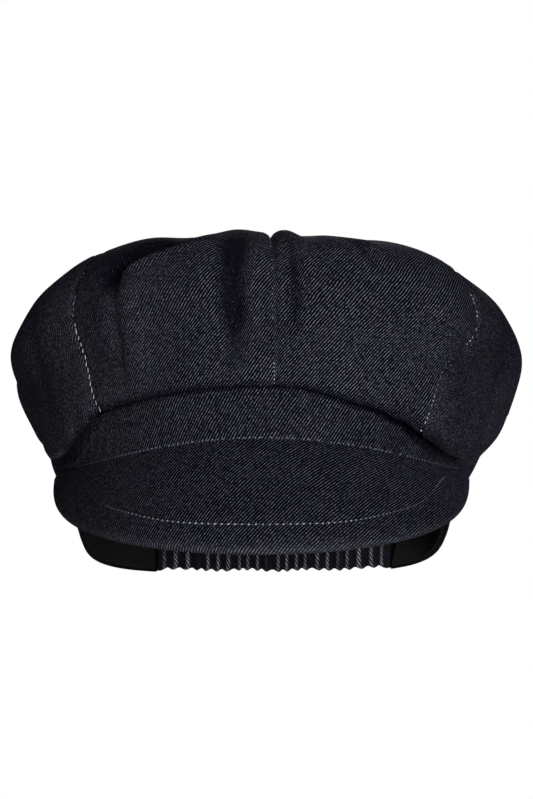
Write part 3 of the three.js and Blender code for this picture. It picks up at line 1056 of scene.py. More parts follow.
@dataclass
class Crown:
    """The eight panels of the crown."""

    surface: CrownForm = field(default_factory=CrownForm)
    wall: float = 1.5
    edge_shares: tuple = (0.0, 0.003, 0.007, 0.012, 0.019, 0.028, 0.04)
    columns: int = 62
    foot_rows: int = 22
    flank_rows: int = 36
    dome_rows: int = 86
    last_rise: float = 0.9996
    leans: tuple = (56, 52, 55, 50, 130, 128, 55, 56)
    grain_from: tuple = (0.0, 0.5, 0.5, 0.5, 0.5, 0.5, 0.5, 1.0)
    grain_ease: tuple = (0.5, 0, 0, 0, 0, 0, 0, 0)
    grain_width: float = 80
    foot_share: float = 0.22
    valley_edges: tuple = (-7.4, -9.4)
    valley_ends: tuple = (-4.2, -2.8)
    grainy: float = 0.58
    grainy_turns: tuple = (-24, -12)
    tuck_turns: tuple = (-31.5, -29.5)
    flank_turns: tuple = (38, 52)
    seam_wear: float = 0.32
    seam_wear_half: float = 0.7
    # A light line along the foot's folded edge at the wearer's right: painted highlight, with some wear.
    edge_wear: float = 1.2
    edge_rise: float = 0.037
    edge_half: float = 0.004

    def rises(self) -> np.ndarray:
        """The rises of the rows, close together round the foot.

        Returns:
            Rises from 0 to the last.
        """
        foot = steps(0, self.foot_share, self.foot_rows)
        flank = steps(self.foot_share, 1, self.flank_rows)[1:]
        dome = steps(self.surface.lower_share, self.last_rise, self.dome_rows)[1:]
        return np.concatenate([foot * self.surface.lower_share, flank * self.surface.lower_share, dome])

    def acrosses(self) -> np.ndarray:
        """The shares across a panel of its columns, close together at the seams.

        Returns:
            Shares from 0 to 1.
        """
        edge = np.array(self.edge_shares)
        middle = steps(edge[-1], 1 - edge[-1], self.columns)[1:-1]
        return np.concatenate([edge, middle, 1 - edge[::-1]])

    def clarity(self, index: int, bearing: np.ndarray, rise: np.ndarray) -> np.ndarray:
        """How clearly the twill lines show: best on the two panels at the front. Low clarity also darkens the
        cloth, and the low values here are painted shade: on the side panels, towards the outer seams of the
        front panels and in the valley of the wearer's right front panel.

        Args:
            index: which seam the panel begins at.
            bearing: degrees about +Z.
            rise: 0 at the band to 1 at the top.

        Returns:
            Shares, 1 where the lines show in full.
        """
        turn = turn_from(bearing)
        if index == 0:
            return 1 - 0.5 * smooth(turn, *self.flank_turns)
        if index == 7:
            left = blend(*self.valley_edges, smooth(rise, 0.05, 0.3))
            valley = smooth(turn, left, left + 1.6) * (1 - smooth(turn, *self.valley_ends))
            valley = valley * smooth(rise, 0.02, 0.1)
            grainy = blend(self.grainy, 1.0, smooth(turn + 18 * (0.3 - rise), *self.grainy_turns))
            return blend(0.3, grainy, smooth(turn, *self.tuck_turns)) * (1 - 0.6 * valley)
        return np.full_like(bearing, 0.15 if index == 1 else 0.32)

    def wear_and_highlight(self, index: int, bearing: np.ndarray, rise: np.ndarray, near: np.ndarray) -> np.ndarray:
        """How faded the cloth is along its seams; along the low fold at the wearer's right it is a painted
        highlight where the folded edge catches the light, with some wear.

        Args:
            index: which seam the panel begins at.
            bearing: degrees about +Z.
            rise: 0 at the band to 1 at the top.
            near: distance to the nearer seam in millimetres.

        Returns:
            Wear and painted highlight, 0 where there is neither.
        """
        seams = self.seam_wear * np.exp(-((near / self.seam_wear_half) ** 2))
        seams = seams * smooth(rise, 0, 0.05) * (1 - smooth(rise, 0.5, 0.7))
        if index != 6:
            return seams
        # Painted highlight along the foot's folded edge at the wearer's right, with a fainter band just above
        # it.
        turn = -turn_from(bearing)
        place = smooth(turn, 56, 62) * (1 - smooth(turn, 80, 86))
        edge = self.edge_wear * np.exp(-(((rise - self.edge_rise) / self.edge_half) ** 2))
        return seams + place * (edge + 0.16 * smooth(rise, 0.04, 0.06) * (1 - smooth(rise, 0.09, 0.16)))

    def cloth_map(self, index: int, u: np.ndarray, v: np.ndarray) -> np.ndarray:
        """A panel's cloth map, with the grain along one seam and eased as the panel widens.

        Args:
            index: which seam the panel begins at.
            u: places across the flat panel.
            v: places up it.

        Returns:
            Places on the cloth's own map.
        """
        origin = round(self.grain_from[index] * (u.shape[1] - 1))
        width = u[:, -1:] - u[:, :1]
        eased = (u - u[:, origin : origin + 1]) * (self.grain_width / width) ** self.grain_ease[index]
        return turned(eased + 300 * index, v, self.leans[index])

    def build(self, outer: bpy.types.Material, inner: bpy.types.Material) -> None:
        """Makes the eight panels.

        Args:
            outer: the finish of the outside.
            inner: the finish of the inside.
        """
        across, rise = np.meshgrid(self.acrosses(), self.rises())
        for index in range(len(SEAMS)):
            points = self.surface.panel_point(index, across, rise)
            bearing, radius, near = self.surface.panel_bearings(index, across, rise)
            u, v = grid_lengths(points)
            marks = {
                "clarity": self.clarity(index, bearing, rise),
                "wear_and_highlight": self.wear_and_highlight(index, bearing, rise, near),
                "dark": self.surface.painted_shade(bearing, rise, radius),
            }
            name = f"denim_panel_{index + 1}"
            panel = cloth_grid(name, points, self.cloth_map(index, u, v), marks)
            give_wall(panel, self.wall, outer, inner)
            finish_piece(panel, (f"crown_panel_{index + 1}",))
            declare_sheet(u, v)


@dataclass
class Band:
    """The denim band that carries everything, open at the back."""

    form: HeadForm = field(default_factory=HeadForm)
    start: float = -147.9
    end: float = 141.4
    rows: int = 14
    columns: int = 260
    lean: float = 52
    edge_half: float = 1.2
    edge_depth: float = 0.35

    def build(self, denim: bpy.types.Material, tape: bpy.types.Material) -> None:
        """Makes the band, whose edges the tape covers.

        Args:
            denim: the finish of the outside.
            tape: the finish of the inside and edges.
        """
        z, bearing = np.meshgrid(steps(0, self.form.band_height, self.rows),
                                 steps(self.start, self.end, self.columns), indexing="ij")
        edge = np.exp(-((z / self.edge_half) ** 2))
        edge = edge + np.exp(-(((self.form.band_height - z) / self.edge_half) ** 2))
        ripple = 0.12 * np.sin(np.radians(bearing) * 31) * np.sin(z * 0.2)
        points = self.form.band_point(bearing, z, ripple - self.edge_depth * edge)
        u, v = grid_lengths(points)
        marks = {"clarity": np.full_like(z, 0.4), "wear_and_highlight": 0.3 * np.exp(-((z / 0.8) ** 2))}
        piece = cloth_grid("denim_band", points, turned(u, v, self.lean), marks)
        give_wall(piece, self.form.band_wall, denim, tape, bound=True)
        finish_piece(piece, ("band",))
        declare_sheet(u, v)


@dataclass
class FrontStrip:
    """The crescent of denim lapped over the front of the band."""

    form: HeadForm = field(default_factory=HeadForm)
    wall: float = 1.4
    end: float = 84
    top: float = 0.8
    rows: int = 26
    columns: int = 300
    lean: float = 58
    mean_radius: float = 90
    crease_place: float = -28
    crease_half: float = 26
    crease_depth: float = 0.3
    lap_height: float = 0.9
    lap_depth: float = 0.45

    def point(self, share: np.ndarray, turn: np.ndarray) -> np.ndarray:
        """Points of its outer face, share 0 at its lower edge to 1 at its upper edge.

        Args:
            share: 0 at the lower edge to 1 at the upper edge.
            turn: degrees round the front of the head, as on a circle.

        Returns:
            Points in millimetres.
        """
        low = self.form.seam_height(turn) + self.form.gap
        z = blend(low, self.form.band_height - self.top, share)
        arc = np.radians(turn) * self.mean_radius
        creased = np.exp(-(((arc - self.crease_place) / self.crease_half) ** 2))
        ripple = self.crease_depth * np.sin((arc * 0.75 + z * 1.15) * 0.55) * creased
        ripple = ripple + 0.14 * np.sin(arc * 0.34 + z * 0.3) + 0.1 * np.sin(arc * 0.9 - z * 0.5)
        ripple = ripple * smooth(z, 1, 8) * (1 - smooth(z, 17, 21))
        lap = self.lap_depth * np.exp(-(((z - low) / self.lap_height) ** 2))
        return self.form.band_point(self.form.bearing_of(turn), z, self.form.gap + self.wall + ripple - lap)

    def build(self, denim: bpy.types.Material) -> None:
        """Makes the strip.

        Args:
            denim: its finish.
        """
        share = np.concatenate([[0, 0.012, 0.03, 0.055], steps(0.09, 1, self.rows - 4)])
        share, turn = np.meshgrid(share, steps(-self.end, self.end, self.columns), indexing="ij")
        points = self.point(share, turn)
        u, _ = grid_lengths(points)
        u = np.broadcast_to(u[len(u) // 2][None, :], u.shape)
        z = points[..., 2]
        v = z * 1.01
        low = z - self.form.seam_height(turn)
        foot = CrownForm().foot_level(self.form.bearing_of(turn))
        folded = 0.22 * np.exp(-(((low - 0.5) / 0.55) ** 2)) * (1 - smooth(-turn, 40, 70))
        # Painted highlight along the strip's visible upper edge at the wearer's right end, where the crown's
        # foot meets it.
        painted_edge_highlight = 0.4 * np.exp(-(((z - foot + 1.0) / 0.7) ** 2)) * smooth(-turn, 50, 57)
        # Painted shadow under the crown's foot, fading out towards the ends.
        painted_shade_share = 0.9 * smooth(z, foot - 1.0, foot + 0.3)
        painted_shade_share = painted_shade_share * (1 - smooth(-turn, 36, 50)) * (1 - 0.6 * smooth(turn, 44, 60))
        # Low clarity towards both ends is painted shade where the light grazes the strip; the dark mark is
        # the painted shadow above plus painted shade towards the wearer's left.
        marks = {
            "clarity": blend(0.25, 0.95, smooth(turn, -52, -26)) * blend(1, 0.5, smooth(turn, 45, 75)),
            "wear_and_highlight": folded + painted_edge_highlight,
            "dark": painted_shade_share + 0.25 * smooth(turn, 16, 40),
        }
        piece = cloth_grid("denim_front_strip", points, turned(u, v, self.lean), marks)
        give_wall(piece, self.wall, denim)
        finish_piece(piece, ("front_strip",))
        declare_sheet(u, v)


@dataclass
class Peak:
    """The peak: a stiff crescent in a folded denim cover, with a line of topstitch inside its edge."""

    form: HeadForm = field(default_factory=HeadForm)
    side: float = 83.5
    shift: float = -2
    reach: float = 131
    drop: float = 77.5
    drop_power: float = 0.78
    end: float = 87
    root: float = 1.2
    wall: float = 3
    root_share: float = 0.22
    tip_power: float = 0.6
    bow: float = 2.5
    bow_way: tuple = (0, -0.86, 0.51)
    last_share: float = 0.975
    columns: int = 260
    lean: float = 63
    cone: float = 0.3
    cone_radius: float = 60
    stitch_depth: float = 0.4
    stitch_half: float = 0.7
    margin_rise: float = 0.25
    margin_inset: float = 6
    margin_half: float = 4
    edge_rounds: int = 10
    edge_wear: float = 0.42
    topstitch_rounding: tuple = (-6, -4, -2, 0, 2, 4, 6)
    topstitch: tuple = ((0, 0.79), (22, 0.785), (33, 0.742), (40, 0.69), (48, 0.655), (53, 0.55), (60, 0.34),
                        (63, 0.1))

    def board(self, turn: np.ndarray, share: np.ndarray) -> np.ndarray:
        """Points of the upper face before its relief, share 0 at its seam to 1 at its free edge.

        Args:
            turn: degrees round the front of the head, as on a circle.
            share: 0 at the seam to 1 at the free edge.

        Returns:
            Points in millimetres.
        """
        sine = np.sin(np.radians(turn))
        cosine = np.cos(np.radians(turn))
        height = self.form.seam_height(turn)
        seam = self.form.band_point(self.form.bearing_of(turn), height, self.form.gap + self.root)
        edge = np.stack(np.broadcast_arrays(self.side * sine + self.shift * np.sqrt(cosine),
                                            -self.reach * cosine,
                                            self.form.band_height - self.drop * cosine**self.drop_power), -1)
        bow = self.bow * cosine * 4 * share * (1 - share)
        return blend(seam, edge, share[..., None]) + bow[..., None] * np.array(self.bow_way)

    def normal(self, turn: np.ndarray, share: np.ndarray) -> np.ndarray:
        """Directions out of the upper face.

        Args:
            turn: degrees round the front of the head, as on a circle.
            share: 0 at the seam to 1 at the free edge.

        Returns:
            Directions of length 1.
        """
        step = 0.01
        along = self.board(turn + 1, share) - self.board(turn - 1, share)
        out = self.board(turn, share + step) - self.board(turn, share - step)
        return unit(np.cross(out, along))

    def stitch_share(self, turn: np.ndarray) -> np.ndarray:
        """Where the topstitch lies between seam and edge.

        Args:
            turn: degrees round the front of the head, as on a circle.

        Returns:
            Shares, 0 at the seam to 1 at the free edge.
        """
        places = [place for place, _ in self.topstitch]
        shares = [share for _, share in self.topstitch]
        rounded = [np.interp(np.abs(turn) + offset, places, shares) for offset in self.topstitch_rounding]
        return sum(rounded) / len(rounded)

    def length(self, turn: np.ndarray) -> np.ndarray:
        """Distance from seam to edge in millimetres."""
        ends = self.board(turn, np.ones_like(turn)) - self.board(turn, np.zeros_like(turn))
        return np.linalg.norm(ends, axis=-1)

    def face(self, turn: np.ndarray, share: np.ndarray) -> np.ndarray:
        """Points of the finished upper face, with the sunk topstitch line and a soft roll inside the edge.

        Args:
            turn: degrees round the front of the head, as on a circle.
            share: 0 at the seam to 1 at the free edge.

        Returns:
            Points in millimetres.
        """
        from_stitch = (share - self.stitch_share(turn)) * self.length(turn)
        inside = (1 - smooth(turn, 55, 64)) * (1 - smooth(-turn, 38, 52))
        sunk = self.stitch_depth * np.exp(-((from_stitch / self.stitch_half) ** 2)) * inside
        margin = np.exp(-(((from_stitch - self.margin_inset) / self.margin_half) ** 2))
        margin = self.margin_rise * margin * inside
        uneven = 0.12 * np.sin(np.radians(turn) * 23 + share * 5) * np.sin(share * 11)
        relief = margin - sunk + uneven * (1 - share)
        return self.board(turn, share) + self.normal(turn, share) * relief[..., None]

    def flat(self, points: np.ndarray) -> tuple[np.ndarray, np.ndarray]:
        """Lays points of the peak out flat, as cloth round a cone.

        Args:
            points: places round the section by stations by 3, in millimetres.

        Returns:
            Places across and up the flat cloth, in millimetres.
        """
        bearing = np.arctan2(points[..., 0], -points[..., 1])
        start = np.linalg.norm(points[0] - self.board_top(bearing[0]), axis=-1)
        down = np.linalg.norm(np.diff(points, axis=0), axis=-1)
        down = np.concatenate([start[None], start[None] + np.cumsum(down, axis=0)])
        radius = self.cone_radius / self.cone + down
        spread = bearing[0][None, :] * self.cone
        return radius * np.sin(spread), -radius * np.cos(spread)

    def board_top(self, bearing: np.ndarray) -> np.ndarray:
        """Points at the top of the band above the peak's seam."""
        return self.form.band_point(np.degrees(bearing), self.form.band_height, self.form.gap + self.root)

    def build(self, denim: bpy.types.Material) -> None:
        """Makes the peak.

        Args:
            denim: its finish.
        """
        turns = steps(-self.end, self.end, self.columns)
        upper = np.concatenate([steps(0, 0.6, 26), steps(0.61, 0.84, 34), steps(0.85, self.last_share, 10)])
        share, turn = np.meshgrid(upper, turns, indexing="ij")
        full = smooth(share, 0, self.root_share) * np.cos(np.radians(turn)) ** self.tip_power
        wall = blend(self.root, self.wall, full)
        normal = self.normal(turn, share)
        top = self.face(turn, share)
        under = self.board(turn, share) - normal * wall[..., None]
        last = normal[-1]
        outward = unit(self.board(turns, np.ones_like(turns)) - self.board(turns, np.full_like(turns, 0.9)))
        middle = (top[-1] + under[-1]) / 2
        half = np.linalg.norm(top[-1] - under[-1], axis=-1)[:, None] / 2
        rounds = [middle + half * (math.cos(angle) * last + math.sin(angle) * outward)
                  for angle in np.linspace(0, math.pi, self.edge_rounds)[1:-1]]
        points = np.concatenate([top, np.stack(rounds), under[::-1]])
        u, v = self.flat(points)
        around = np.arange(len(points))[:, None] * np.ones_like(turns)[None, :]
        edge = np.exp(-(((around - len(upper) - 2) / 5.5) ** 2))
        # Low clarity towards both ends is painted shade, where the light grazes the peak.
        clear = blend(0.3, 1, smooth(turns, -46, -28)) * blend(1, 0.75, smooth(turns, 50, 75))
        marks = {"clarity": np.broadcast_to(clear[None, :], u.shape), "wear_and_highlight": self.edge_wear * edge}
        piece = section_loft("denim_peak", points, turned(u, v, self.lean), marks, denim)
        finish_piece(piece, ("peak",))


@dataclass
class ElasticCasing:
    """The gathered denim tube across the back, with the elastic inside it."""

    form: HeadForm = field(default_factory=HeadForm)
    start: float = 141.5
    end: float = 212.5
    low: float = 1.5
    top: float = 0.2
    inner_shift: float = 40
    middle: float = 2.1
    half: float = 1.5
    gathers: int = 22
    depth: float = 1.1
    wave: float = 0.8
    steps_per_gather: int = 14
    rows: int = 16

    def build(self, denim: bpy.types.Material) -> None:
        """Makes the casing; each gather is a little different.

        Args:
            denim: its finish.
        """
        bearings = steps(self.start, self.end, self.gathers * self.steps_per_gather)
        along = (bearings - self.start) / (self.end - self.start)
        uneven = 0.55 * np.sin(along * 31) + 0.4 * np.sin(along * 67 + 1) * np.sin(np.pi * along)
        phase = 2 * np.pi * self.gathers * along + uneven
        crest = 0.5 - 0.5 * np.cos(phase)
        strong = 0.75 + 0.25 * np.sin(along * 47 + 2) * np.sin(along * 17)
        low = self.low + self.wave * (0.6 * np.cos(phase) + 0.5 * np.sin(along * 23) * np.sin(np.pi * along))
        low = low * smooth(along, -0.01, 0.05) * (1 - smooth(along, 0.95, 1.01))
        round_shares = steps(0, 1, self.rows)
        faces = []
        lengths = []
        for side in (1, -1):
            shares = round_shares[::side]
            for share in shares:
                bulge = math.sin(math.pi * share)
                soft = 0.55 + 0.45 * bulge**0.5
                lean = 0.125 * np.sin(phase + share * 2.2)
                swell = (self.half + self.depth * crest * strong) * soft + lean * bulge
                out = -self.middle + side * swell
                z = blend(low, self.form.band_height - self.top, share)
                faces.append(self.form.band_point(bearings, z, out))
                lengths.append(z + (0 if side == 1 else self.inner_shift))
        points = np.stack(faces)
        cloth = np.cumsum(np.concatenate([[0], np.hypot(np.diff(bearings) * 1.36, np.diff(crest) * 2.6)]))
        u = np.broadcast_to(cloth[None, :], points.shape[:2])
        v = np.stack(lengths)
        chance = np.floor(phase / (2 * np.pi))
        bright = 0.55 + 0.45 * np.sin(chance * 12.9898) * np.sin(chance * 4.1)
        glint = smooth(crest, 0.7, 0.96) * smooth(bright, 0.05, 0.6)
        marks = {
            "clarity": np.broadcast_to(0.25 + 0.3 * crest[None, :], u.shape),
            "wear_and_highlight": np.zeros_like(u),
            "glint": np.broadcast_to(glint[None, :], u.shape),
        }
        piece = section_loft("gathered_casing", points, turned(u, v, 0), marks, denim)
        finish_piece(piece, ("elastic_casing",))


@dataclass
class Sweatband:
    """The black ribbed tape inside the band."""

    form: HeadForm = field(default_factory=HeadForm)
    start: float = -146.8
    end: float = 139
    slant: float = 1.3
    edge: float = 0.6
    hem: float = 3.4
    hem_half: float = 0.45
    slack: float = 0.15
    clear: float = 0.1
    wall: float = 1
    rows: int = 16
    columns: int = 280

    def build(self, tape: bpy.types.Material) -> None:
        """Makes the tape, with painted shade in a line near one end, where the real tape is folded in, and a
        slanted end on the other.

        Args:
            tape: its finish.
        """
        share, along = np.meshgrid(steps(0, 1, self.rows), steps(0, 1, self.columns), indexing="ij")
        z = blend(self.edge, self.form.band_height - self.edge, share)
        last = self.end + self.slant * (1 - 2 * share)
        bearing = blend(self.start, last, along)
        arc = np.radians(bearing - self.start) * self.form.head.back
        # Painted shade in a line near the start, where the real tape's end is folded in.
        painted_hem_shade = np.exp(-(((arc - self.hem) / self.hem_half) ** 2))
        ripple = self.slack * np.sin(arc * 0.21) * np.sin(np.pi * share)
        out = -self.form.band_wall - self.form.gap - self.clear + np.minimum(0, ripple)
        points = self.form.band_point(bearing, z, out)
        u, v = grid_lengths(points)
        piece = cloth_grid("ribbed_sweatband", points, turned(u, v, 0), {"dark": painted_hem_shade})
        give_wall(piece, self.wall, tape)
        finish_piece(piece, ("sweatband",))
        declare_sheet(u, v)


@dataclass(frozen=True)
class GatheredDenim:
    """Dark denim drawn up by elastic: pale slanted dashes show on the crests of the gathers."""

    name: str
    ground: tuple = colour(0.009, 0.0085, 0.014)
    weft: tuple = colour(0.12, 0.12, 0.16)
    dash: tuple = colour(0.95, 0.97, 1.0)
    pitch: float = 2.05
    slope: float = 1.5
    fine_pitch: float = 0.8
    fine_slope: float = 1.3
    cell_length: float = 2.6
    roughness: float = 0.9
    specular: float = 0.06
    sheen: float = 0.03
    relief_depth: float = 0.0002
    relief: float = 0.5

    def build(self) -> bpy.types.Material:
        """Makes the material; the cloth's own map has x across the gathers and y up, in millimetres.

        Returns:
            The material.
        """
        tree = ShaderTree(self.name)
        place = tree.node("ShaderNodeUVMap", {"uv_map": "cloth"}, {})
        along, up = tree.split(place)
        waver = tree.noise(tree.join(along * 0.3, up * 0.3), 1.0, 1.0)
        line = (up - along * self.slope) / self.pitch + waver * 0.5
        ridge = line.ridge()
        glint = tree.attribute("glint")
        crest = tree.attribute("clarity")
        cell = tree.chance(tree.join((along / self.cell_length).floor(), line.floor(), 1.7))
        fine = ((up - along * self.fine_slope) / self.fine_pitch).ridge().ramp(0.5, 0.95)
        fine = fine * crest * (0.2 + 0.8 * cell)
        shade = tree.mix(fine, self.ground, self.weft)
        dash = ridge.ramp(0.5, 0.72) * glint * (0.42 + 0.36 * cell)
        tree.feed("Base Color", tree.mix(dash, shade, self.dash))
        tree.feed("Roughness", self.roughness)
        tree.feed("Specular IOR Level", self.specular)
        tree.feed("Sheen Weight", self.sheen)
        tree.bump(ridge * 0.7 + fine * 0.3, self.relief_depth, self.relief)
        return tree.material


@dataclass(frozen=True)
class StitchShape:
    """One stitch lying on the cloth: a short thread with rounded ends."""

    sides: int = 6
    rings: tuple = ((-0.5, 0.3), (-0.36, 0.85), (0.0, 1.0), (0.36, 0.85), (0.5, 0.3))

    def mesh(self) -> tuple[np.ndarray, list]:
        """Points along x, of length and radius 1, and faces.

        Returns:
            The points, and the points of each face.
        """
        angles = np.arange(self.sides) * 2 * math.pi / self.sides
        points = [(x, radius * math.cos(angle), radius * math.sin(angle))
                  for x, radius in self.rings for angle in angles]
        faces = []
        for ring in range(len(self.rings) - 1):
            for side in range(self.sides):
                after = (side + 1) % self.sides
                low = ring * self.sides
                high = low + self.sides
                faces.append([low + side, low + after, high + after, high + side])
        faces.append(list(range(self.sides))[::-1])
        faces.append(list(range((len(self.rings) - 1) * self.sides, len(self.rings) * self.sides)))
        return np.array(points), faces


def stitch_row(name: str, places: np.ndarray, ways: np.ndarray, outs: np.ndarray, lengths: np.ndarray,
               thick: np.ndarray | float, thread: bpy.types.Material) -> None:
    """Makes a row of stitches as one piece.

    Args:
        name: the piece's name.
        places: the middle of each stitch, in millimetres.
        ways: the direction that each lies in.
        outs: the direction out of the cloth at each.
        lengths: how long each is.
        thick: radius of the thread.
        thread: its finish.
    """
    points, faces = StitchShape().mesh()
    ways = unit(ways)
    outs = unit(outs - ways * np.sum(ways * outs, axis=-1, keepdims=True))
    lengths = np.broadcast_to(lengths, (len(places),))[:, None]
    thick = np.broadcast_to(thick, (len(places),))[:, None]
    axes = np.stack([ways * lengths, np.cross(ways, outs) * thick, outs * thick], axis=1)
    laid = places[:, None, :] + points @ axes
    starts = range(0, len(places) * len(points), len(points))
    every = [[corner + start for corner in one] for start in starts for one in faces]
    piece = closed_piece(name, laid, every, thread)
    piece.data.polygons.foreach_set("use_smooth", [True] * len(piece.data.polygons))
    piece.select_set(False)
    finish_piece(piece)


def even_places(points: np.ndarray, pitch: float) -> np.ndarray:
    """Shares of a line, from 0 to 1, at places that lie one pitch apart.

    Args:
        points: the line.
        pitch: the distance between places.

    Returns:
        The shares.
    """
    lengths = np.concatenate([[0], np.cumsum(np.linalg.norm(np.diff(points, axis=0), axis=-1))])
    wanted = np.arange(pitch / 2, lengths[-1], pitch)
    return np.interp(wanted, lengths, steps(0, 1, len(points) - 1))


def read_off(values: np.ndarray, shares: np.ndarray) -> np.ndarray:
    """Values or points of an evenly divided line, read off at shares from 0 to 1.

    Args:
        values: the line's values or points.
        shares: where to read them.

    Returns:
        A value or point for each share.
    """
    own = steps(0, 1, len(values) - 1)
    if values.ndim == 1:
        return np.interp(shares, own, values)
    return np.stack([np.interp(shares, own, part) for part in values.T], axis=-1)


@dataclass(frozen=True)
class CrownRow:
    """A row of stitches beside a crown seam.

    The inset is the distance in millimetres from the panel's first seam, or from its second where it is
    negative. The row runs between the two rises of its span. The lean is how many degrees each stitch turns
    from the seam's own direction, and kept is the share of stitches that show.
    """

    name: str
    panel: int
    inset: float
    span: tuple
    pitch: float
    length: float
    thick: float
    lean: float
    kept: float
    bright: bool


CROWN_ROWS = (
    CrownRow("left_seam_rope", 7, 1.3, (0.0, 0.27), 2.7, 2.35, 0.22, -21, 1.0, True),
    CrownRow("left_seam_thin_rope", 7, 1.3, (0.27, 0.36), 2.6, 1.9, 0.16, -18, 0.9, False),
    CrownRow("left_seam_dots", 7, 1.3, (0.36, 0.52), 2.1, 0.7, 0.18, -10, 0.5, False),
    CrownRow("right_seam_dots", 0, -0.9, (0.0, 0.09), 1.9, 0.85, 0.27, 20, 0.95, True),
    CrownRow("right_seam_mid_dots", 0, -0.9, (0.09, 0.21), 2.1, 0.6, 0.18, 20, 0.4, False),
    CrownRow("right_seam_high_dots", 0, -0.9, (0.21, 0.43), 2.0, 0.9, 0.27, 20, 0.85, True),
    CrownRow("right_seam_high_row", 0, -2.1, (0.23, 0.4), 2.0, 0.7, 0.2, 20, 0.6, True),
    CrownRow("centre_seam_dots", 7, -1.2, (0.03, 0.085), 1.5, 0.6, 0.2, 30, 0.75, True),
    CrownRow("centre_seam_high_dots", 7, -1.2, (0.085, 0.62), 2.3, 0.6, 0.17, 20, 0.35, False),
)


@dataclass
class Stitching:
    """The threads that show: along the peak's seam and edge, and along the seams of the crown."""

    crown: CrownForm
    strip: FrontStrip
    peak: Peak
    divisions: int = 1200
    row_divisions: int = 800
    seam_reach: float = 80
    seam_end: float = 74
    seam_lift: float = 0.55
    seam_out: float = 1.55
    seam_pitch: float = 2.05
    seam_slant: float = 0.25
    seam_thick: float = 0.18
    edge_span: tuple = (-46, 62)
    edge_pitch: float = 2.55
    knot_slant: float = 0.5
    knot_out: float = 0.12
    knot_thick: float = 0.23
    thread_length: float = 1.6
    thread_thick: float = 0.24
    thread_out: float = 0.02
    rng: np.random.Generator = field(default_factory=lambda: np.random.default_rng(11))

    def peak_seam(self, thread: bpy.types.Material) -> None:
        """Close stitches along the lower edge of the front strip.

        Args:
            thread: its finish.
        """
        form = self.strip.form
        fine = steps(-self.seam_reach, self.seam_reach, self.divisions)
        height = form.seam_height(fine) + form.gap + self.seam_lift
        line = form.band_point(form.bearing_of(fine), height, self.seam_out)
        where = even_places(line, self.seam_pitch)
        turn = read_off(fine, where)
        places = read_off(line, where)
        ways = unit(read_off(line, where + 1e-3) - places + 1e-9) + np.array([0, 0, self.seam_slant])
        bearing = np.radians(form.bearing_of(turn))
        outs = np.stack([np.sin(bearing), -np.cos(bearing), -0.2 * np.ones_like(bearing)], -1)
        keep = self.rng.random(len(places)) > blend(0.05, 0.25, smooth(turn, -5, 25))
        keep &= np.abs(turn) < self.seam_end
        weight = blend(1, 0.35, smooth(-turn, 30, 62)) * blend(1, 0.6, smooth(turn, 40, 62))
        lengths = (0.6 + 0.25 * self.rng.random(len(places))) * weight
        stitch_row("peak_seam_stitches", places[keep], ways[keep], outs[keep], lengths[keep],
                   self.seam_thick * weight[keep], thread)

    def peak_edge(self, light: bpy.types.Material, dark: bpy.types.Material) -> None:
        """The topstitch inside the peak's edge: dark thread, with its light knots between.

        Args:
            light: the finish of the knots.
            dark: the finish of the thread between them.
        """
        fine = steps(*self.edge_span, self.divisions)
        where = even_places(self.peak.face(fine, self.peak.stitch_share(fine)), self.edge_pitch)
        turn = read_off(fine, where)
        share = self.peak.stitch_share(turn)
        places = self.peak.face(turn, share)
        ways = self.peak.face(turn + 0.4, self.peak.stitch_share(turn + 0.4)) - places
        outs = self.peak.normal(turn, share)
        lengths = 0.75 + 0.35 * self.rng.random(len(places))
        tilt = unit(ways) + np.array([0, 0, self.knot_slant])
        weight = blend(1, 0.45, smooth(np.abs(turn), 22, 42))
        stitch_row("peak_edge_knots", places + outs * self.knot_out, tilt, outs, lengths * weight,
                   self.knot_thick * weight, light)
        between = turn + 0.5 * np.gradient(turn)
        middles = self.peak.face(between, self.peak.stitch_share(between))
        stitch_row("peak_edge_threads", middles + outs * self.thread_out, ways, outs, self.thread_length,
                   self.thread_thick, dark)

    def crown_line(self, index: int, inset: float, rises: np.ndarray) -> tuple:
        """Places beside a crown seam.

        Args:
            index: the panel, which the seam begins where inset is positive and ends where it is negative.
            inset: distance from the seam in millimetres.
            rises: rises from low to high.

        Returns:
            Points, directions along the seam and directions out of the cloth.
        """
        seam = 0.0 if inset > 0 else 1.0
        first = SEAMS[index]
        second = SEAMS[(index + 1) % len(SEAMS)]
        spread = np.radians((second[2] - first[2]) % 360)

        def at(rise: np.ndarray) -> np.ndarray:
            """Points at these rises."""
            _, radius, _ = self.crown.panel_bearings(index, np.full_like(rise, 0.5), rise)
            return self.crown.panel_point(index, seam + inset / (spread * radius), rise)

        ways = at(np.minimum(rises + 0.004, 0.999)) - at(np.maximum(rises - 0.004, 0))
        bearing, _, _ = self.crown.panel_bearings(index, np.full_like(rises, seam), rises)
        return at(rises), ways, self.crown.normal(bearing, rises)

    def crown_row(self, row: CrownRow, thread: bpy.types.Material) -> None:
        """Makes a row of stitches beside a crown seam.

        Args:
            row: the row to make.
            thread: its finish.
        """
        fine = steps(*row.span, self.row_divisions)
        points, _, _ = self.crown_line(row.panel, row.inset, fine)
        rises = read_off(fine, even_places(points, row.pitch))
        places, ways, outs = self.crown_line(row.panel, row.inset, rises)
        ways = unit(ways)
        sides = np.cross(outs, ways)
        angle = math.radians(row.lean) + 0.2 * (self.rng.random(len(places)) - 0.5)
        ways = ways * np.cos(angle)[:, None] + sides * np.sin(angle)[:, None]
        keep = self.rng.random(len(places)) < row.kept
        lengths = row.length * (0.8 + 0.4 * self.rng.random(len(places)))
        stitch_row(row.name, places[keep] + outs[keep] * row.thick * 0.6, ways[keep], outs[keep],
                   lengths[keep], row.thick, thread)

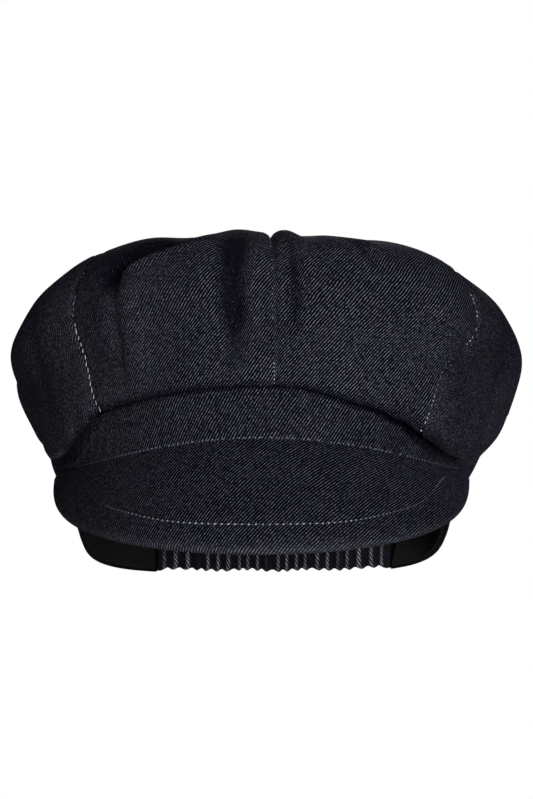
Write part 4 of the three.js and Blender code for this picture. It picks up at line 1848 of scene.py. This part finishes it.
    def build(self, light: bpy.types.Material, pale: bpy.types.Material, dark: bpy.types.Material) -> None:
        """Makes every row.

        Args:
            light: nearly white thread.
            pale: blue-grey thread.
            dark: indigo thread.
        """
        self.peak_seam(pale)
        self.peak_edge(light, dark)
        for row in CROWN_ROWS:
            self.crown_row(row, light if row.bright else pale)


@dataclass(frozen=True)
class SoftLight:
    """A square soft light that looks at the cap, with its place and size in metres and its power in watts."""

    name: str
    place: tuple
    size: float
    power: float


@dataclass
class Studio:
    """The pale floor, the soft lights and the camera; aim and the camera's distance are in millimetres."""

    pixels_per_mm: float = 2.476
    distance_mm: float = 1500
    tilt: float = 20
    aim: tuple = (1.4, 0, 22)
    aim_up: float = 27.3
    frame_height: float = 799
    sensor: float = 36
    clip_start: float = 0.05
    clip_end: float = 50
    floor_z: float = -1.25
    floor_size: float = 16
    floor_low: tuple = colour(0.78, 0.78, 0.78)
    floor_high: tuple = colour(0.82, 0.82, 0.82)
    floor_roughness: float = 0.9
    lit_point: tuple = (0, 0, 0.05)
    air_colour: tuple = colour(0.93, 0.96, 1.0)
    air_strength: float = 0.05
    backdrop: tuple = colour(1.0, 1.0, 1.0)
    lights: tuple = (
        SoftLight("key", (0.55, -1.85, -0.5), 0.7, 22),
        SoftLight("fill", (-0.9, -1.9, 0.3), 1.0, 3.5),
        SoftLight("top", (0.2, -0.5, 2.0), 0.9, 1.5),
        SoftLight("rear", (0.2, 1.7, 1.3), 0.9, 12),
    )

    def camera(self) -> None:
        """Looks up at the cap's rim, at the photograph's angle and scale."""
        tilt = math.radians(self.tilt)
        view = Vector((0, math.cos(tilt), math.sin(tilt)))
        up = Vector((0, -math.sin(tilt), math.cos(tilt)))
        aim = (Vector(self.aim) + up * self.aim_up) * MM
        data = bpy.data.cameras.new("camera")
        data.sensor_width = self.sensor
        data.lens = self.pixels_per_mm * self.distance_mm * self.sensor / self.frame_height
        data.clip_start = self.clip_start
        data.clip_end = self.clip_end
        camera = bpy.data.objects.new("camera", data)
        bpy.context.scene.collection.objects.link(camera)
        turn = Matrix((Vector((1, 0, 0)), up, -view)).transposed()
        camera.matrix_world = Matrix.Translation(aim - view * self.distance_mm * MM) @ turn.to_4x4()
        bpy.context.scene.camera = camera

    def soft_lights(self) -> None:
        """Sets the lights."""
        for light in self.lights:
            data = bpy.data.lights.new(light.name, "AREA")
            data.shape = "SQUARE"
            data.size = light.size
            data.energy = light.power
            lamp = bpy.data.objects.new(light.name, data)
            bpy.context.scene.collection.objects.link(lamp)
            lamp.location = light.place
            aim = Vector(self.lit_point) - lamp.location
            lamp.rotation_euler = aim.to_track_quat("-Z", "Y").to_euler()

    def floor(self) -> None:
        """Lays a plain pale floor well below the cap."""
        bpy.ops.object.select_all(action="DESELECT")
        bpy.ops.mesh.primitive_plane_add(size=self.floor_size, location=(0, 0, self.floor_z))
        floor = bpy.context.object
        floor.name = "studio_floor"
        tree = ShaderTree("studio_floor")
        grain = tree.noise(tree.node("ShaderNodeTexCoord", {}, {}, "Object"), 3.0, 2.0)
        tree.feed("Base Color", tree.mix(grain, self.floor_low, self.floor_high))
        tree.feed("Roughness", self.floor_roughness)
        floor.data.materials.append(tree.material)
        floor.select_set(False)

    def air(self) -> None:
        """Seen as white behind the cap, the surroundings light it softly."""
        world = bpy.data.worlds.new("studio")
        world.use_nodes = True
        bpy.context.scene.world = world
        nodes = world.node_tree.nodes
        links = world.node_tree.links
        nodes.clear()
        output = nodes.new("ShaderNodeOutputWorld")
        ray = nodes.new("ShaderNodeLightPath")
        soft = nodes.new("ShaderNodeBackground")
        soft.inputs["Color"].default_value = self.air_colour
        soft.inputs["Strength"].default_value = self.air_strength
        white = nodes.new("ShaderNodeBackground")
        white.inputs["Color"].default_value = self.backdrop
        mix = nodes.new("ShaderNodeMixShader")
        links.new(ray.outputs["Is Camera Ray"], mix.inputs[0])
        links.new(soft.outputs[0], mix.inputs[1])
        links.new(white.outputs[0], mix.inputs[2])
        links.new(mix.outputs[0], output.inputs["Surface"])
        bpy.context.scene.view_settings.view_transform = "Standard"

    def build(self) -> None:
        """Makes the whole studio."""
        self.camera()
        self.soft_lights()
        self.floor()
        self.air()


def main() -> None:
    """Builds the cap and its studio."""
    logging.basicConfig(level=logging.INFO, format="%(message)s")
    Studio().build()
    crown_denim = Denim("crown_denim").build()
    band_denim = Denim("band_denim", strength=0.85).build()
    peak_denim = Denim("peak_denim", pitch=1.0, line_low=0.62, strength=0.86).build()
    reverse = Denim("denim_reverse", ground=colour(0.02, 0.022, 0.03), weft=colour(0.2, 0.21, 0.25)).build()
    casing_denim = GatheredDenim("casing_denim").build()
    tape = RibbedTape("black_tape").build()
    # The band's inside and edges take a copy of the black tape painted far darker, as painted shade.
    shaded_edge_tape = RibbedTape("shaded_edge_tape", level=0.05).build()
    light = Thread("light_thread", colour(0.8, 0.82, 0.86)).build()
    pale = Thread("pale_thread", colour(0.42, 0.47, 0.62)).build()
    indigo = Thread("indigo_thread", colour(0.02, 0.028, 0.075)).build()

    crown = Crown()
    strip = FrontStrip()
    peak = Peak()
    Band().build(band_denim, shaded_edge_tape)
    crown.build(crown_denim, reverse)
    strip.build(band_denim)
    peak.build(peak_denim)
    ElasticCasing().build(casing_denim)
    Sweatband().build(tape)
    Stitching(crown.surface, strip, peak).build(light, pale, indigo)


if __name__ == "__main__":
    main()
